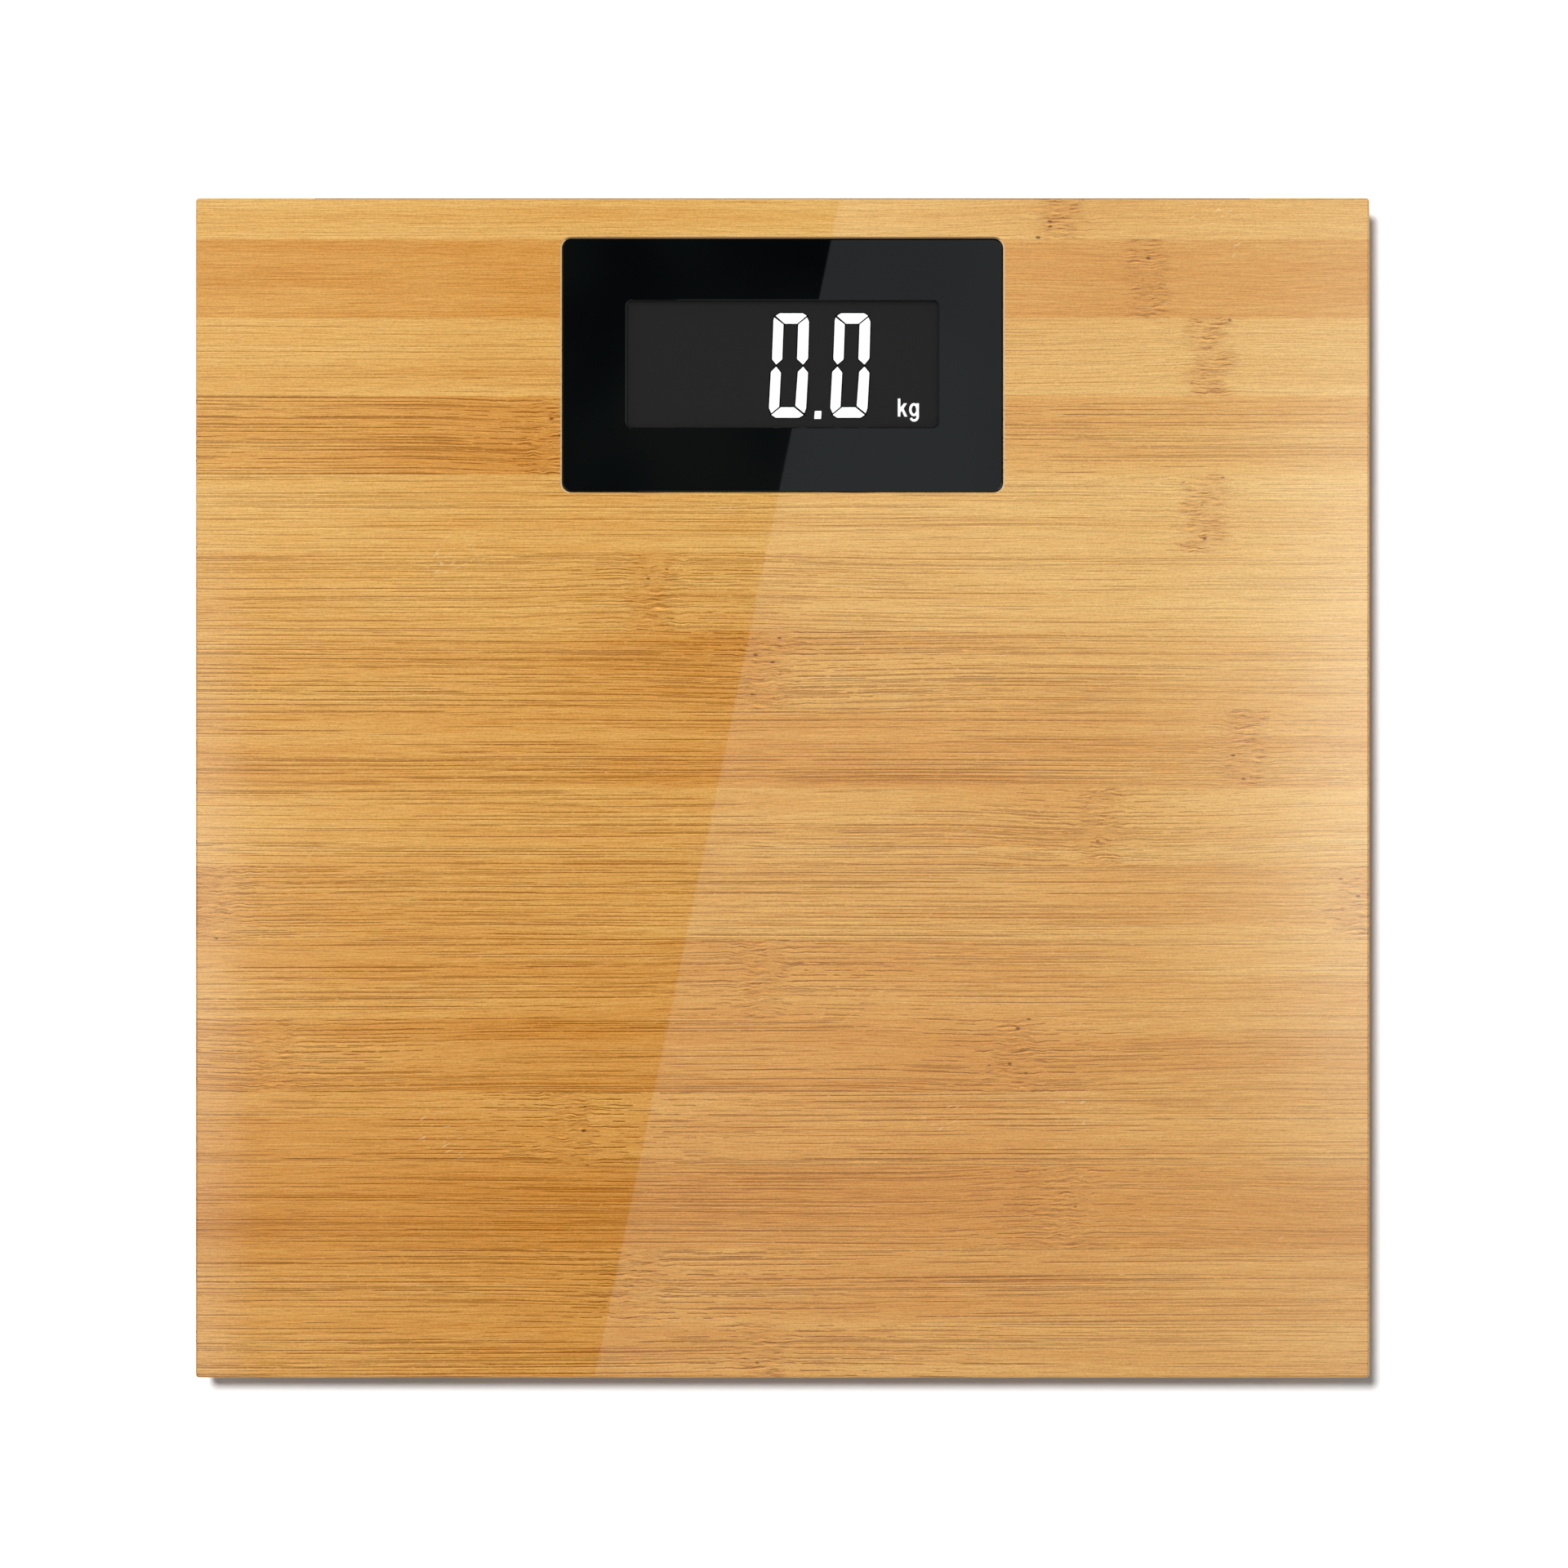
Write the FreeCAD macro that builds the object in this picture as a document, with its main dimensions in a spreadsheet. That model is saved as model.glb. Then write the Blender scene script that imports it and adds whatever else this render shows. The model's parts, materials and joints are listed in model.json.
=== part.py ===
import FreeCAD, Part
import math
import os
import re
import Sketcher

# Digital bathroom scale: a laminated bamboo board on four load-cell feet, with a display set into
# the board, and an electronics housing with two AAA cells under it.
# Millimetres. Origin on the floor under the board's centre, +X right, +Y towards the display, +Z up.

PARTS_FOLDER = "parts"
SIDES = (-1, 1)
CORNERS = [(across, along) for along in SIDES for across in SIDES]
CORNER_NAMES = {(-1, -1): "front_left", (1, -1): "front_right", (-1, 1): "rear_left", (1, 1): "rear_right"}

DIMENSIONS = [
    # bamboo board
    ("board_width", 300.0),
    ("board_depth", 301.5),
    ("board_bottom", 16.0),
    ("board_top", 25.0),
    ("board_corner", 0.9),
    ("board_edge_round", 0.6),
    # cut-out for the display, and the shallower pocket in front of it
    ("window_width", 112.8),
    ("window_depth", 64.9),
    ("window_y", 107.95),
    ("window_corner", 2.5),
    ("window_chamfer", 0.4),
    ("pocket_width", 116.0),
    ("pocket_front", 46.0),
    ("pocket_rise", 4.4),
    ("pocket_corner", 4.0),
    ("pocket_lap", 6.0),
    # feet
    ("foot_x", 116.0),
    ("foot_y", 116.75),
    ("foot_ring_radius", 25.0),
    ("foot_ring_inside", 23.0),
    ("foot_ring_bottom", 6.0),
    ("foot_ring_top_wall", 13.5),
    ("foot_centre_hole", 5.0),
    ("ear_offset", 20.15),
    ("ear_radius", 5.0),
    ("ear_hole", 3.4),
    ("cell_size", 34.0),
    ("cell_corner", 5.0),
    ("cell_bottom", 10.5),
    ("cell_thickness", 2.0),
    ("tongue_half_width", 6.0),
    ("tongue_reach", 9.0),
    ("tongue_slot", 2.0),
    ("tongue_hole", 3.4),
    ("beam_slot_inner", 10.5),
    ("beam_slot_outer", 12.0),
    ("rib_inner", 13.5),
    ("rib_outer", 16.5),
    ("rib_reach", 12.0),
    ("ledge_inner", 16.0),
    ("ledge_outer", 23.5),
    ("ledge_reach", 4.0),
    ("ledge_bottom", 9.5),
    ("gauge_y", 11.0),
    ("gauge_width", 6.0),
    ("gauge_depth", 3.6),
    ("gauge_top", 13.2),
    ("foot_chamfer", 0.8),
    ("cup_radius", 20.0),
    ("cup_bottom", 1.0),
    ("cup_top", 8.4),
    ("cup_wall", 2.0),
    ("cup_web", 2.0),
    ("cup_boss", 4.0),
    ("pad_recess_radius", 16.0),
    ("pad_top", 2.5),
    ("pad_radius", 15.8),
    ("pad_groove_inner", 9.0),
    ("pad_groove_outer", 10.2),
    ("pad_groove_depth", 0.6),
    ("foot_screw_head", 2.8),
    ("foot_screw_head_rise", 1.8),
    ("foot_screw_shank", 1.4),
    ("foot_screw_end", 5.3),
    # sensor cables, their grooves in the board and the strips that close the grooves
    ("cable_radius", 1.0),
    ("cable_level", 17.4),
    ("cable_exit_bend", 3.0),
    ("cable_bend", 40.0),
    ("cable_bend_start", 50.0),
    ("groove_half_width", 1.6),
    ("groove_rise", 3.2),
    ("groove_lap", 1.0),
    ("strip_half_width", 4.5),
    ("strip_thickness", 0.4),
    ("strip_gap", 0.4),
    # housing
    ("housing_half_width", 66.0),
    ("housing_front", 36.0),
    ("housing_rear", 147.0),
    ("housing_corner", 5.0),
    ("housing_bottom", 6.0),
    ("housing_floor", 1.6),
    ("housing_wall", 1.8),
    ("housing_split", 14.4),
    ("housing_edge_round", 1.0),
    ("tower_gap", 0.4),
    ("tower_wall", 1.8),
    ("tower_top", 22.9),
    ("tower_plate", 1.5),
    ("bay_half_length", 25.0),
    ("bay_front", 48.9),
    ("bay_rear", 72.7),
    ("bay_wall", 1.8),
    ("bay_front_wall", 1.2),
    ("bay_wall_foot", 1.4),
    ("cheek_lap", 1.2),
    ("bay_ceiling", 18.6),
    ("bay_top", 20.0),
    ("cover_screw_front_x", 52.0),
    ("cover_screw_front", 52.5),
    ("cover_screw_rear_x", 50.0),
    ("cover_screw_rear", 134.8),
    ("cover_post", 4.0),
    ("cover_boss", 3.2),
    ("cover_boss_top", 20.0),
    ("cover_counterbore", 3.0),
    ("cover_counterbore_top", 9.5),
    ("cover_screw_head", 2.6),
    ("cover_screw_head_rise", 1.7),
    ("cover_screw_shank", 1.2),
    ("cover_screw_end", 19.4),
    ("wood_screw_x", 61.0),
    ("wood_screw_front", 62.0),
    ("wood_screw_middle", 103.4),
    ("wood_screw_rear", 130.0),
    ("wood_screw_head", 2.75),
    ("wood_screw_head_rise", 1.9),
    ("wood_screw_shank", 1.4),
    ("wood_screw_end", 21.5),
    ("screw_clearance", 0.2),
    ("screw_pilot_gap", 0.05),
    ("pilot_spare", 0.3),
    ("cross_span", 2.6),
    ("cross_width", 0.7),
    ("cross_depth", 0.8),
    # display
    ("bezel_gap", 0.2),
    ("bezel_bottom", 23.2),
    ("bezel_thickness", 1.5),
    ("view_width", 79.8),
    ("view_depth", 32.5),
    ("view_y", 108.35),
    ("view_corner", 1.5),
    ("glass_width", 86.0),
    ("glass_depth", 38.0),
    ("glass_thickness", 1.1),
    ("glass_ledge", 3.5),
    ("glass_gap", 0.3),
    ("gasket_inside_width", 94.0),
    ("gasket_inside_depth", 46.0),
    # main board and what is on it
    ("circuit_half_width", 52.0),
    ("circuit_front", 81.0),
    ("circuit_rear", 131.0),
    ("circuit_bottom", 14.6),
    ("circuit_thickness", 1.6),
    ("circuit_screw_x", 48.0),
    ("circuit_screw_front", 84.0),
    ("circuit_screw_rear", 128.0),
    ("circuit_post", 2.5),
    ("circuit_screw_head", 2.25),
    ("circuit_screw_head_rise", 1.5),
    ("circuit_screw_shank", 1.0),
    ("circuit_screw_end", 19.5),
    ("zebra_width", 82.0),
    ("zebra_depth", 2.0),
    ("zebra_inset", 0.6),
    ("connector_inner", 45.0),
    ("connector_outer", 50.0),
    ("connector_half_depth", 3.0),
    ("connector_rise", 2.8),
    ("blob_radius", 16.2),
    ("blob_rise", 1.6),
    ("blob_x", -15.0),
    ("blob_y", 106.0),
    ("switch_size", 6.0),
    ("switch_bottom", 11.0),
    ("switch_bore", 1.75),
    ("switch_bore_top", 13.2),
    ("plunger_radius", 1.6),
    ("plunger_bottom", 10.3),
    ("plunger_top", 12.4),
    # unit button
    ("button_x", 36.0),
    ("button_y", 98.0),
    ("button_hole", 4.8),
    ("button_radius", 4.5),
    ("button_bottom", 6.3),
    ("button_flange", 5.7),
    ("button_flange_rise", 1.0),
    ("button_stem", 2.0),
    ("button_dish", 2.8),
    ("button_dish_depth", 0.4),
    # battery door
    ("door_axis_y", 74.9),
    ("door_axis_z", 7.3),
    ("door_half_width", 26.8),
    ("door_gap", 0.4),
    ("door_front", 47.9),
    ("door_barrel", 1.3),
    ("door_barrel_gap", 0.4),
    ("door_pin_radius", 0.8),
    ("door_pin_reach", 1.5),
    ("door_pin_gap", 0.08),
    ("cheek_width", 3.0),
    ("cheek_half_depth", 2.2),
    ("rear_wall_bottom", 9.2),
    ("latch_half_width", 4.0),
    ("latch_front", 49.1),
    ("latch_thickness", 1.1),
    ("latch_top", 11.0),
    ("latch_nose", 0.6),
    ("latch_nose_bottom", 9.2),
    ("latch_nose_rise", 1.0),
    ("latch_nose_half_width", 3.4),
    ("latch_notch_top", 11.4),
    ("grip_half_width", 9.0),
    ("grip_front", 51.5),
    ("grip_pitch", 2.4),
    ("grip_width", 1.2),
    ("grip_depth", 0.5),
    # two AAA cells and their contacts
    ("battery_radius", 5.25),
    ("battery_length", 44.5),
    ("battery_nub_radius", 1.8),
    ("battery_nub", 1.0),
    ("battery_level", 13.05),
    ("battery_front_y", 56.6),
    ("battery_rear_y", 67.3),
    ("contact_thickness", 0.4),
    ("contact_half_width", 4.7),
    ("contact_bottom", 8.4),
    ("contact_top", 17.8),
    ("tab_half_width", 1.2),
    ("tab_bottom", 11.0),
    ("tab_top", 13.0),
    ("tab_end", 28.0),
    ("tab_slot", 0.4),
    ("spring_wire", 0.25),
    ("spring_wide", 3.4),
    ("spring_turns", 4),
    ("wire_radius", 0.6),
    ("wire_bend", 4.5),
    ("wire_last_bend", 1.8),
    ("wire_positive_x", 38.0),
    ("wire_negative_x", 33.0),
    ("wire_end_y", 86.0),
]

doc = FreeCAD.newDocument("BathroomScale")
sheet = doc.addObject("Spreadsheet::Sheet", "Dimensions")
for row, (alias, value) in enumerate(DIMENSIONS, start=1):
    sheet.set(f"A{row}", alias)
    sheet.set(f"B{row}", str(value))
    sheet.setAlias(f"B{row}", alias)
doc.recompute()

subparts = []


# ---------------------------------------------------------------- formulas, sketches and features

def bound(formula):
    """Turn each word of a formula into a reference to its cell in the dimension sheet."""
    return re.sub(r"[a-z][a-z_]*", r"Dimensions.\g<0>", str(formula))


def number(formula):
    """The present value of a formula."""
    return float(sheet.evalExpression(bound(formula)))


def start_body(name):
    body = doc.addObject("PartDesign::Body", name)
    body.Label = name
    body.AllowCompound = True
    subparts.append(body)
    return body


def stand_at(subpart, x, y, z="0", turn=0):
    """Put a sub-part in its place, turned about the vertical by so many degrees."""
    subpart.Placement = FreeCAD.Placement(FreeCAD.Vector(), FreeCAD.Rotation(FreeCAD.Vector(0, 0, 1), turn))
    for axis, formula in (("x", x), ("y", y), ("z", z)):
        subpart.setExpression(f"Placement.Base.{axis}", bound(formula))


def start_sketch(body, name, level="0", plane="XY_Plane"):
    """A sketch on one of the body's own origin planes, moved along the plane's normal to a level."""
    sketch = body.newObject("Sketcher::SketchObject", name)
    support = next(item for item in body.Origin.OriginFeatures if item.Role == plane)
    sketch.AttachmentSupport = [(support, "")]
    sketch.MapMode = "FlatFace"
    sketch.setExpression("AttachmentOffset.Base.z", bound(level))
    return sketch


def set_size(sketch, constraint, formula):
    index = sketch.addConstraint(constraint)
    sketch.setExpression(f"Constraints[{index}]", bound(formula))


def hold_point(sketch, shape, end, across, up):
    """Hold a point of a sketched shape at its distances from the sketch's origin."""
    set_size(sketch, Sketcher.Constraint("DistanceX", -1, 1, shape, end, number(across)), across)
    set_size(sketch, Sketcher.Constraint("DistanceY", -1, 1, shape, end, number(up)), up)


def nearest_end(sketch, shape, place):
    distances = {end: sketch.getPoint(shape, end).distanceToPoint(place) for end in (1, 2)}
    return min(distances, key=distances.get)


def draw_outline(sketch, corners, arc_centres=None):
    """Draw a closed outline. The stretch after corner N is an arc where arc_centres has N."""
    arc_centres = arc_centres or {}
    places = [FreeCAD.Vector(number(across), number(up), 0) for across, up in corners]
    shapes = []
    for step, place in enumerate(places):
        following = places[(step + 1) % len(places)]
        if step in arc_centres:
            centre = FreeCAD.Vector(*[number(formula) for formula in arc_centres[step]], 0)
            outward = ((place + following) * 0.5 - centre).normalize()
            middle = centre + outward * place.distanceToPoint(centre)
            shapes.append(sketch.addGeometry(Part.Arc(place, middle, following), False))
        else:
            shapes.append(sketch.addGeometry(Part.LineSegment(place, following), False))
    for step, (across, up) in enumerate(corners):
        before = shapes[step - 1]
        after = shapes[step]
        end_before = nearest_end(sketch, before, places[step])
        end_after = nearest_end(sketch, after, places[step])
        sketch.addConstraint(Sketcher.Constraint("Coincident", before, end_before, after, end_after))
        hold_point(sketch, after, end_after, across, up)
    for step, (across, up) in arc_centres.items():
        set_size(sketch, Sketcher.Constraint("DistanceX", -1, 1, shapes[step], 3, number(across)), across)


def draw_rectangle(sketch, left, front, right, rear):
    draw_outline(sketch, [(left, front), (right, front), (right, rear), (left, rear)])


def draw_rounded_rectangle(sketch, left, front, right, rear, radius):
    inner_left, inner_right = f"{left} + {radius}", f"{right} - {radius}"
    inner_front, inner_rear = f"{front} + {radius}", f"{rear} - {radius}"
    corners = [
        (inner_left, front), (inner_right, front), (right, inner_front), (right, inner_rear),
        (inner_right, rear), (inner_left, rear), (left, inner_rear), (left, inner_front),
    ]
    centres = {
        1: (inner_right, inner_front),
        3: (inner_right, inner_rear),
        5: (inner_left, inner_rear),
        7: (inner_left, inner_front),
    }
    draw_outline(sketch, corners, centres)


def draw_circle(sketch, x, y, radius):
    circle = Part.Circle(FreeCAD.Vector(number(x), number(y), 0), FreeCAD.Vector(0, 0, 1), number(radius))
    shape = sketch.addGeometry(circle, False)
    hold_point(sketch, shape, 3, x, y)
    set_size(sketch, Sketcher.Constraint("Radius", shape, number(radius)), radius)


def draw_cross(sketch, x, y):
    """A screw's cross recess."""
    long, short = "cross_span / 2", "cross_width / 2"
    steps = [
        (long, short), (short, short), (short, long), (f"-{short}", long), (f"-{short}", short),
        (f"-{long}", short), (f"-{long}", f"-{short}"), (f"-{short}", f"-{short}"),
        (f"-{short}", f"-{long}"), (short, f"-{long}"), (short, f"-{short}"), (long, f"-{short}"),
    ]
    draw_outline(sketch, [(f"{x} + ({across})", f"{y} + ({up})") for across, up in steps])


def pad(body, sketch, height):
    feature = body.newObject("PartDesign::Pad", f"{sketch.Name}_pad")
    feature.Profile = sketch
    feature.setExpression("Length", bound(height))
    return feature


def cut(body, sketch, height, reverse=True):
    """Cut a sketch out of the body, upwards from the sketch's level, and see that something goes."""
    doc.recompute()
    before = body.Shape.Volume
    feature = body.newObject("PartDesign::Pocket", f"{sketch.Name}_cut")
    feature.Profile = sketch
    feature.Reversed = reverse
    feature.setExpression("Length", bound(height))
    doc.recompute()
    if body.Shape.Volume > before - 1e-3:
        raise RuntimeError(f"{body.Label}: {sketch.Name} cuts nothing")
    return feature


def turn(body, sketch, line="V_Axis"):
    feature = body.newObject("PartDesign::Revolution", f"{sketch.Name}_turned")
    feature.Profile = sketch
    feature.ReferenceAxis = (sketch, [line])
    feature.Angle = 360
    return feature


def turned_body(name, profile):
    """A body turned about its own vertical axis from (radius, height) corners."""
    body = start_body(name)
    sketch = start_sketch(body, "profile", plane="XZ_Plane")
    draw_outline(sketch, profile)
    turn(body, sketch)
    return body


def dress_edges(body, kind, size, wanted):
    """Round or chamfer the edges for which wanted(edge) holds."""
    doc.recompute()
    base = body.Tip
    edges = [f"Edge{place}" for place, edge in enumerate(base.Shape.Edges, start=1) if wanted(edge)]
    feature = body.newObject(f"PartDesign::{kind}", f"{kind.lower()}_{size}")
    feature.Base = (base, edges)
    feature.setExpression("Radius" if kind == "Fillet" else "Size", bound(size))


def lies_at(edge, level):
    return abs(edge.BoundBox.ZMin - level) < 1e-4 and abs(edge.BoundBox.ZMax - level) < 1e-4


def reaches(edge, half_width, half_depth, centre_y=0.0):
    """True for an edge that reaches an outline of the given half sizes."""
    box = edge.BoundBox
    far_x = max(abs(box.XMin), abs(box.XMax))
    far_y = max(abs(box.YMin - centre_y), abs(box.YMax - centre_y))
    return far_x > half_width - 1e-3 or far_y > half_depth - 1e-3


def add_feature(name, shape):
    feature = doc.addObject("Part::Feature", name)
    feature.Label = name
    feature.Shape = shape
    feature.Placement = FreeCAD.Placement()
    subparts.append(feature)


# ---------------------------------------------------------------------------------- tubes and wires

def round_route(points, radii):
    """Straight runs through the points, with tangent arcs of the given radii at the inner ones."""
    edges = []
    start = points[0]
    for place, radius in zip(range(1, len(points) - 1), radii):
        corner = points[place]
        back = (points[place - 1] - corner).normalize()
        ahead = (points[place + 1] - corner).normalize()
        half_opening = back.getAngle(ahead) / 2
        reach = radius / math.tan(half_opening)
        entry = corner + back * reach
        leave = corner + ahead * reach
        bisector = (back + ahead).normalize()
        middle = corner + bisector * (math.hypot(radius, reach) - radius)
        if start.distanceToPoint(entry) > 1e-6:
            edges.append(Part.LineSegment(start, entry).toShape())
        edges.append(Part.Arc(entry, middle, leave).toShape())
        print(f"bend: radius {radius:.1f}, turn {180 - math.degrees(2 * half_opening):.0f} degrees")
        start = leave
    edges.append(Part.LineSegment(start, points[-1]).toShape())
    return Part.Wire(edges)


def tube(name, points, radii, radius):
    route = round_route(points, radii)
    direction = points[1] - points[0]
    section = Part.Wire([Part.Circle(points[0], direction, radius).toShape()])
    shape = route.makePipeShell([section], True, False, 2)
    expected = math.pi * radius ** 2 * route.Length
    if abs(shape.Volume - expected) > 0.01 * expected:
        raise RuntimeError(f"{name}: volume {shape.Volume:.2f}, expected {expected:.2f}")
    print(f"{name}: length {route.Length:.1f}")
    add_feature(name, shape)


# ------------------------------------------------------------------------------------------- board

def bend_band(sketch, side, half_width, start_y, end_x):
    """The outline of a band that runs back from a front foot and bends in towards the housing."""
    outer_x, inner_x = f"{side} * (foot_x + {half_width})", f"{side} * (foot_x - {half_width})"
    bend_x = f"{side} * (foot_x - cable_bend)"
    outer_y = f"cable_bend_start + cable_bend + {half_width}"
    inner_y = f"cable_bend_start + cable_bend - {half_width}"
    corners = [
        (outer_x, start_y), (outer_x, "cable_bend_start"), (bend_x, outer_y), (f"{side} * {end_x}", outer_y),
        (f"{side} * {end_x}", inner_y), (bend_x, inner_y), (inner_x, "cable_bend_start"), (inner_x, start_y),
    ]
    centre = (bend_x, "cable_bend_start")
    draw_outline(sketch, corners, {1: centre, 5: centre})


def make_platform():
    body = start_body("platform")
    outline = start_sketch(body, "board_outline", "board_bottom")
    draw_rounded_rectangle(outline, "-board_width / 2", "-board_depth / 2", "board_width / 2",
                           "board_depth / 2", "board_corner")
    pad(body, outline, "board_top - board_bottom")

    window = start_sketch(body, "display_cutout", "board_bottom")
    draw_rounded_rectangle(window, "-window_width / 2", "window_y - window_depth / 2", "window_width / 2",
                           "window_y + window_depth / 2", "window_corner")
    cut(body, window, "board_top - board_bottom")

    pocket = start_sketch(body, "electronics_pocket", "board_bottom")
    draw_rounded_rectangle(pocket, "-pocket_width / 2", "pocket_front", "pocket_width / 2",
                           "window_y - window_depth / 2 + pocket_lap", "pocket_corner")
    cut(body, pocket, "pocket_rise")

    for side in SIDES:
        rear_groove = start_sketch(body, "rear_groove", "board_bottom")
        draw_rectangle(rear_groove, f"{side} * (window_width / 2 - groove_lap)", "foot_y - groove_half_width",
                       f"{side} * (foot_x - gauge_y + groove_half_width)", "foot_y + groove_half_width")
        cut(body, rear_groove, "groove_rise")
        front_groove = start_sketch(body, "front_groove", "board_bottom")
        bend_band(front_groove, side, "groove_half_width", "gauge_y - foot_y - groove_half_width",
                  "(window_width / 2 - groove_lap)")
        cut(body, front_groove, "groove_rise")

    pilots = start_sketch(body, "wood_screw_pilots", "board_bottom")
    for x, y in wood_screw_places() + foot_ear_places():
        draw_circle(pilots, x, y, "wood_screw_shank + screw_pilot_gap")
    cut(body, pilots, "wood_screw_end + pilot_spare - board_bottom")

    top = number("board_top")
    half_width, half_depth = number("board_width / 2"), number("board_depth / 2")
    dress_edges(body, "Fillet", "board_edge_round",
                lambda edge: lies_at(edge, top) and reaches(edge, half_width - 1, half_depth - 1))
    dress_edges(body, "Chamfer", "window_chamfer",
                lambda edge: lies_at(edge, top) and not reaches(edge, half_width - 2, half_depth - 2))


def wood_screw_places():
    rows = ["wood_screw_front", "wood_screw_middle", "wood_screw_rear"]
    return [(f"{side} * wood_screw_x", row) for row in rows for side in SIDES]


def foot_turn(across, along):
    """Degrees that turn a foot so that its cable heads for the housing."""
    return 0 if along < 0 else across * 90


def foot_ear_places():
    """Where the two screws of each foot housing go into the board."""
    places = []
    for across, along in CORNERS:
        for end in SIDES:
            # a quarter turn swaps the diagonal that the ears lie on
            skew = end if along < 0 else -end
            x = f"{across} * foot_x + {end} * ear_offset"
            y = f"{along} * foot_y + {skew} * ear_offset"
            places.append((x, y))
    return places


# -------------------------------------------------------------------------------------------- feet

def stand_foot(body, corner):
    across, along = corner
    stand_at(body, f"{across} * foot_x", f"{along} * foot_y", turn=foot_turn(across, along))


def make_foot_housing(corner):
    name = CORNER_NAMES[corner]
    body = start_body(f"foot_housing_{name}")
    ring = start_sketch(body, "ring", plane="XZ_Plane")
    draw_outline(ring, [
        ("foot_centre_hole", "foot_ring_top_wall"), ("foot_ring_inside", "foot_ring_top_wall"),
        ("foot_ring_inside", "foot_ring_bottom"), ("foot_ring_radius", "foot_ring_bottom"),
        ("foot_ring_radius", "board_bottom"), ("foot_centre_hole", "board_bottom"),
    ])
    turn(body, ring)
    ribs = start_sketch(body, "ribs", "cell_bottom + cell_thickness")
    for side in SIDES:
        draw_rectangle(ribs, f"{side} * rib_inner", "-rib_reach", f"{side} * rib_outer", "rib_reach")
    pad(body, ribs, "foot_ring_top_wall - cell_bottom - cell_thickness")
    ledges = start_sketch(body, "ledges", "ledge_bottom")
    for side in SIDES:
        draw_rectangle(ledges, f"{side} * ledge_inner", "-ledge_reach", f"{side} * ledge_outer",
                       "ledge_reach")
    pad(body, ledges, "cell_bottom - ledge_bottom")
    ears = start_sketch(body, "ears", "foot_ring_top_wall")
    for side in SIDES:
        draw_circle(ears, f"{side} * ear_offset", f"{side} * ear_offset", "ear_radius")
    pad(body, ears, "board_bottom - foot_ring_top_wall")
    holes = start_sketch(body, "ear_holes", "foot_ring_top_wall")
    for side in SIDES:
        draw_circle(holes, f"{side} * ear_offset", f"{side} * ear_offset", "ear_hole / 2")
    cut(body, holes, "board_bottom - foot_ring_top_wall")
    slot = start_sketch(body, "cable_slot", "foot_ring_top_wall")
    draw_rectangle(slot, "-groove_half_width", "gauge_y - groove_half_width", "groove_half_width",
                   "gauge_y + cable_exit_bend")
    cut(body, slot, "board_bottom - foot_ring_top_wall")
    stand_foot(body, corner)


def make_load_cell(corner):
    body = start_body(f"load_cell_{CORNER_NAMES[corner]}")
    outline = start_sketch(body, "plate", "cell_bottom")
    draw_rounded_rectangle(outline, "-cell_size / 2", "-cell_size / 2", "cell_size / 2",
                           "cell_size / 2", "cell_corner")
    pad(body, outline, "cell_thickness")
    inner, outer = "tongue_half_width", "(tongue_half_width + tongue_slot)"
    reach, far_reach = "tongue_reach", "(tongue_reach + tongue_slot)"
    slot = start_sketch(body, "tongue_slot", "cell_bottom")
    draw_outline(slot, [
        (f"-{outer}", reach), (f"-{outer}", f"-{far_reach}"), (outer, f"-{far_reach}"),
        (outer, reach), (inner, reach), (inner, f"-{reach}"), (f"-{inner}", f"-{reach}"),
        (f"-{inner}", reach),
    ])
    cut(body, slot, "cell_thickness")
    holes = start_sketch(body, "holes", "cell_bottom")
    draw_circle(holes, "0", "0", "tongue_hole / 2")
    for side in SIDES:
        draw_rectangle(holes, f"{side} * beam_slot_inner", "-tongue_reach", f"{side} * beam_slot_outer",
                       "tongue_reach + 2")
    cut(body, holes, "cell_thickness")
    stand_foot(body, corner)


def make_strain_gauge(corner):
    body = start_body(f"strain_gauge_{CORNER_NAMES[corner]}")
    outline = start_sketch(body, "potting", "cell_bottom + cell_thickness")
    draw_rounded_rectangle(outline, "-gauge_width / 2", "gauge_y - gauge_depth / 2", "gauge_width / 2",
                           "gauge_y + gauge_depth / 2", "gauge_depth / 4")
    pad(body, outline, "gauge_top - cell_bottom - cell_thickness")
    stand_foot(body, corner)


def make_foot_cup(corner):
    body = turned_body(f"foot_cup_{CORNER_NAMES[corner]}", [
        ("0", "pad_top"), ("pad_recess_radius", "pad_top"), ("pad_recess_radius", "cup_bottom"),
        ("cup_radius - foot_chamfer", "cup_bottom"), ("cup_radius", "cup_bottom + foot_chamfer"),
        ("cup_radius", "cup_top"),
        ("cup_radius - cup_wall", "cup_top"), ("cup_radius - cup_wall", "pad_top + cup_web"),
        ("cup_boss", "pad_top + cup_web"), ("cup_boss", "cell_bottom"),
        ("foot_screw_shank + screw_pilot_gap", "cell_bottom"),
        ("foot_screw_shank + screw_pilot_gap", "foot_screw_end - pilot_spare"),
        ("0", "foot_screw_end - pilot_spare"),
    ])
    stand_foot(body, corner)


def make_foot_pad(corner):
    body = turned_body(f"foot_pad_{CORNER_NAMES[corner]}", [
        ("0", "0"), ("pad_groove_inner", "0"), ("pad_groove_inner", "pad_groove_depth"),
        ("pad_groove_outer", "pad_groove_depth"), ("pad_groove_outer", "0"),
        ("pad_radius - foot_chamfer", "0"), ("pad_radius", "foot_chamfer"), ("pad_radius", "pad_top"),
        ("0", "pad_top"),
    ])
    stand_foot(body, corner)


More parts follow.
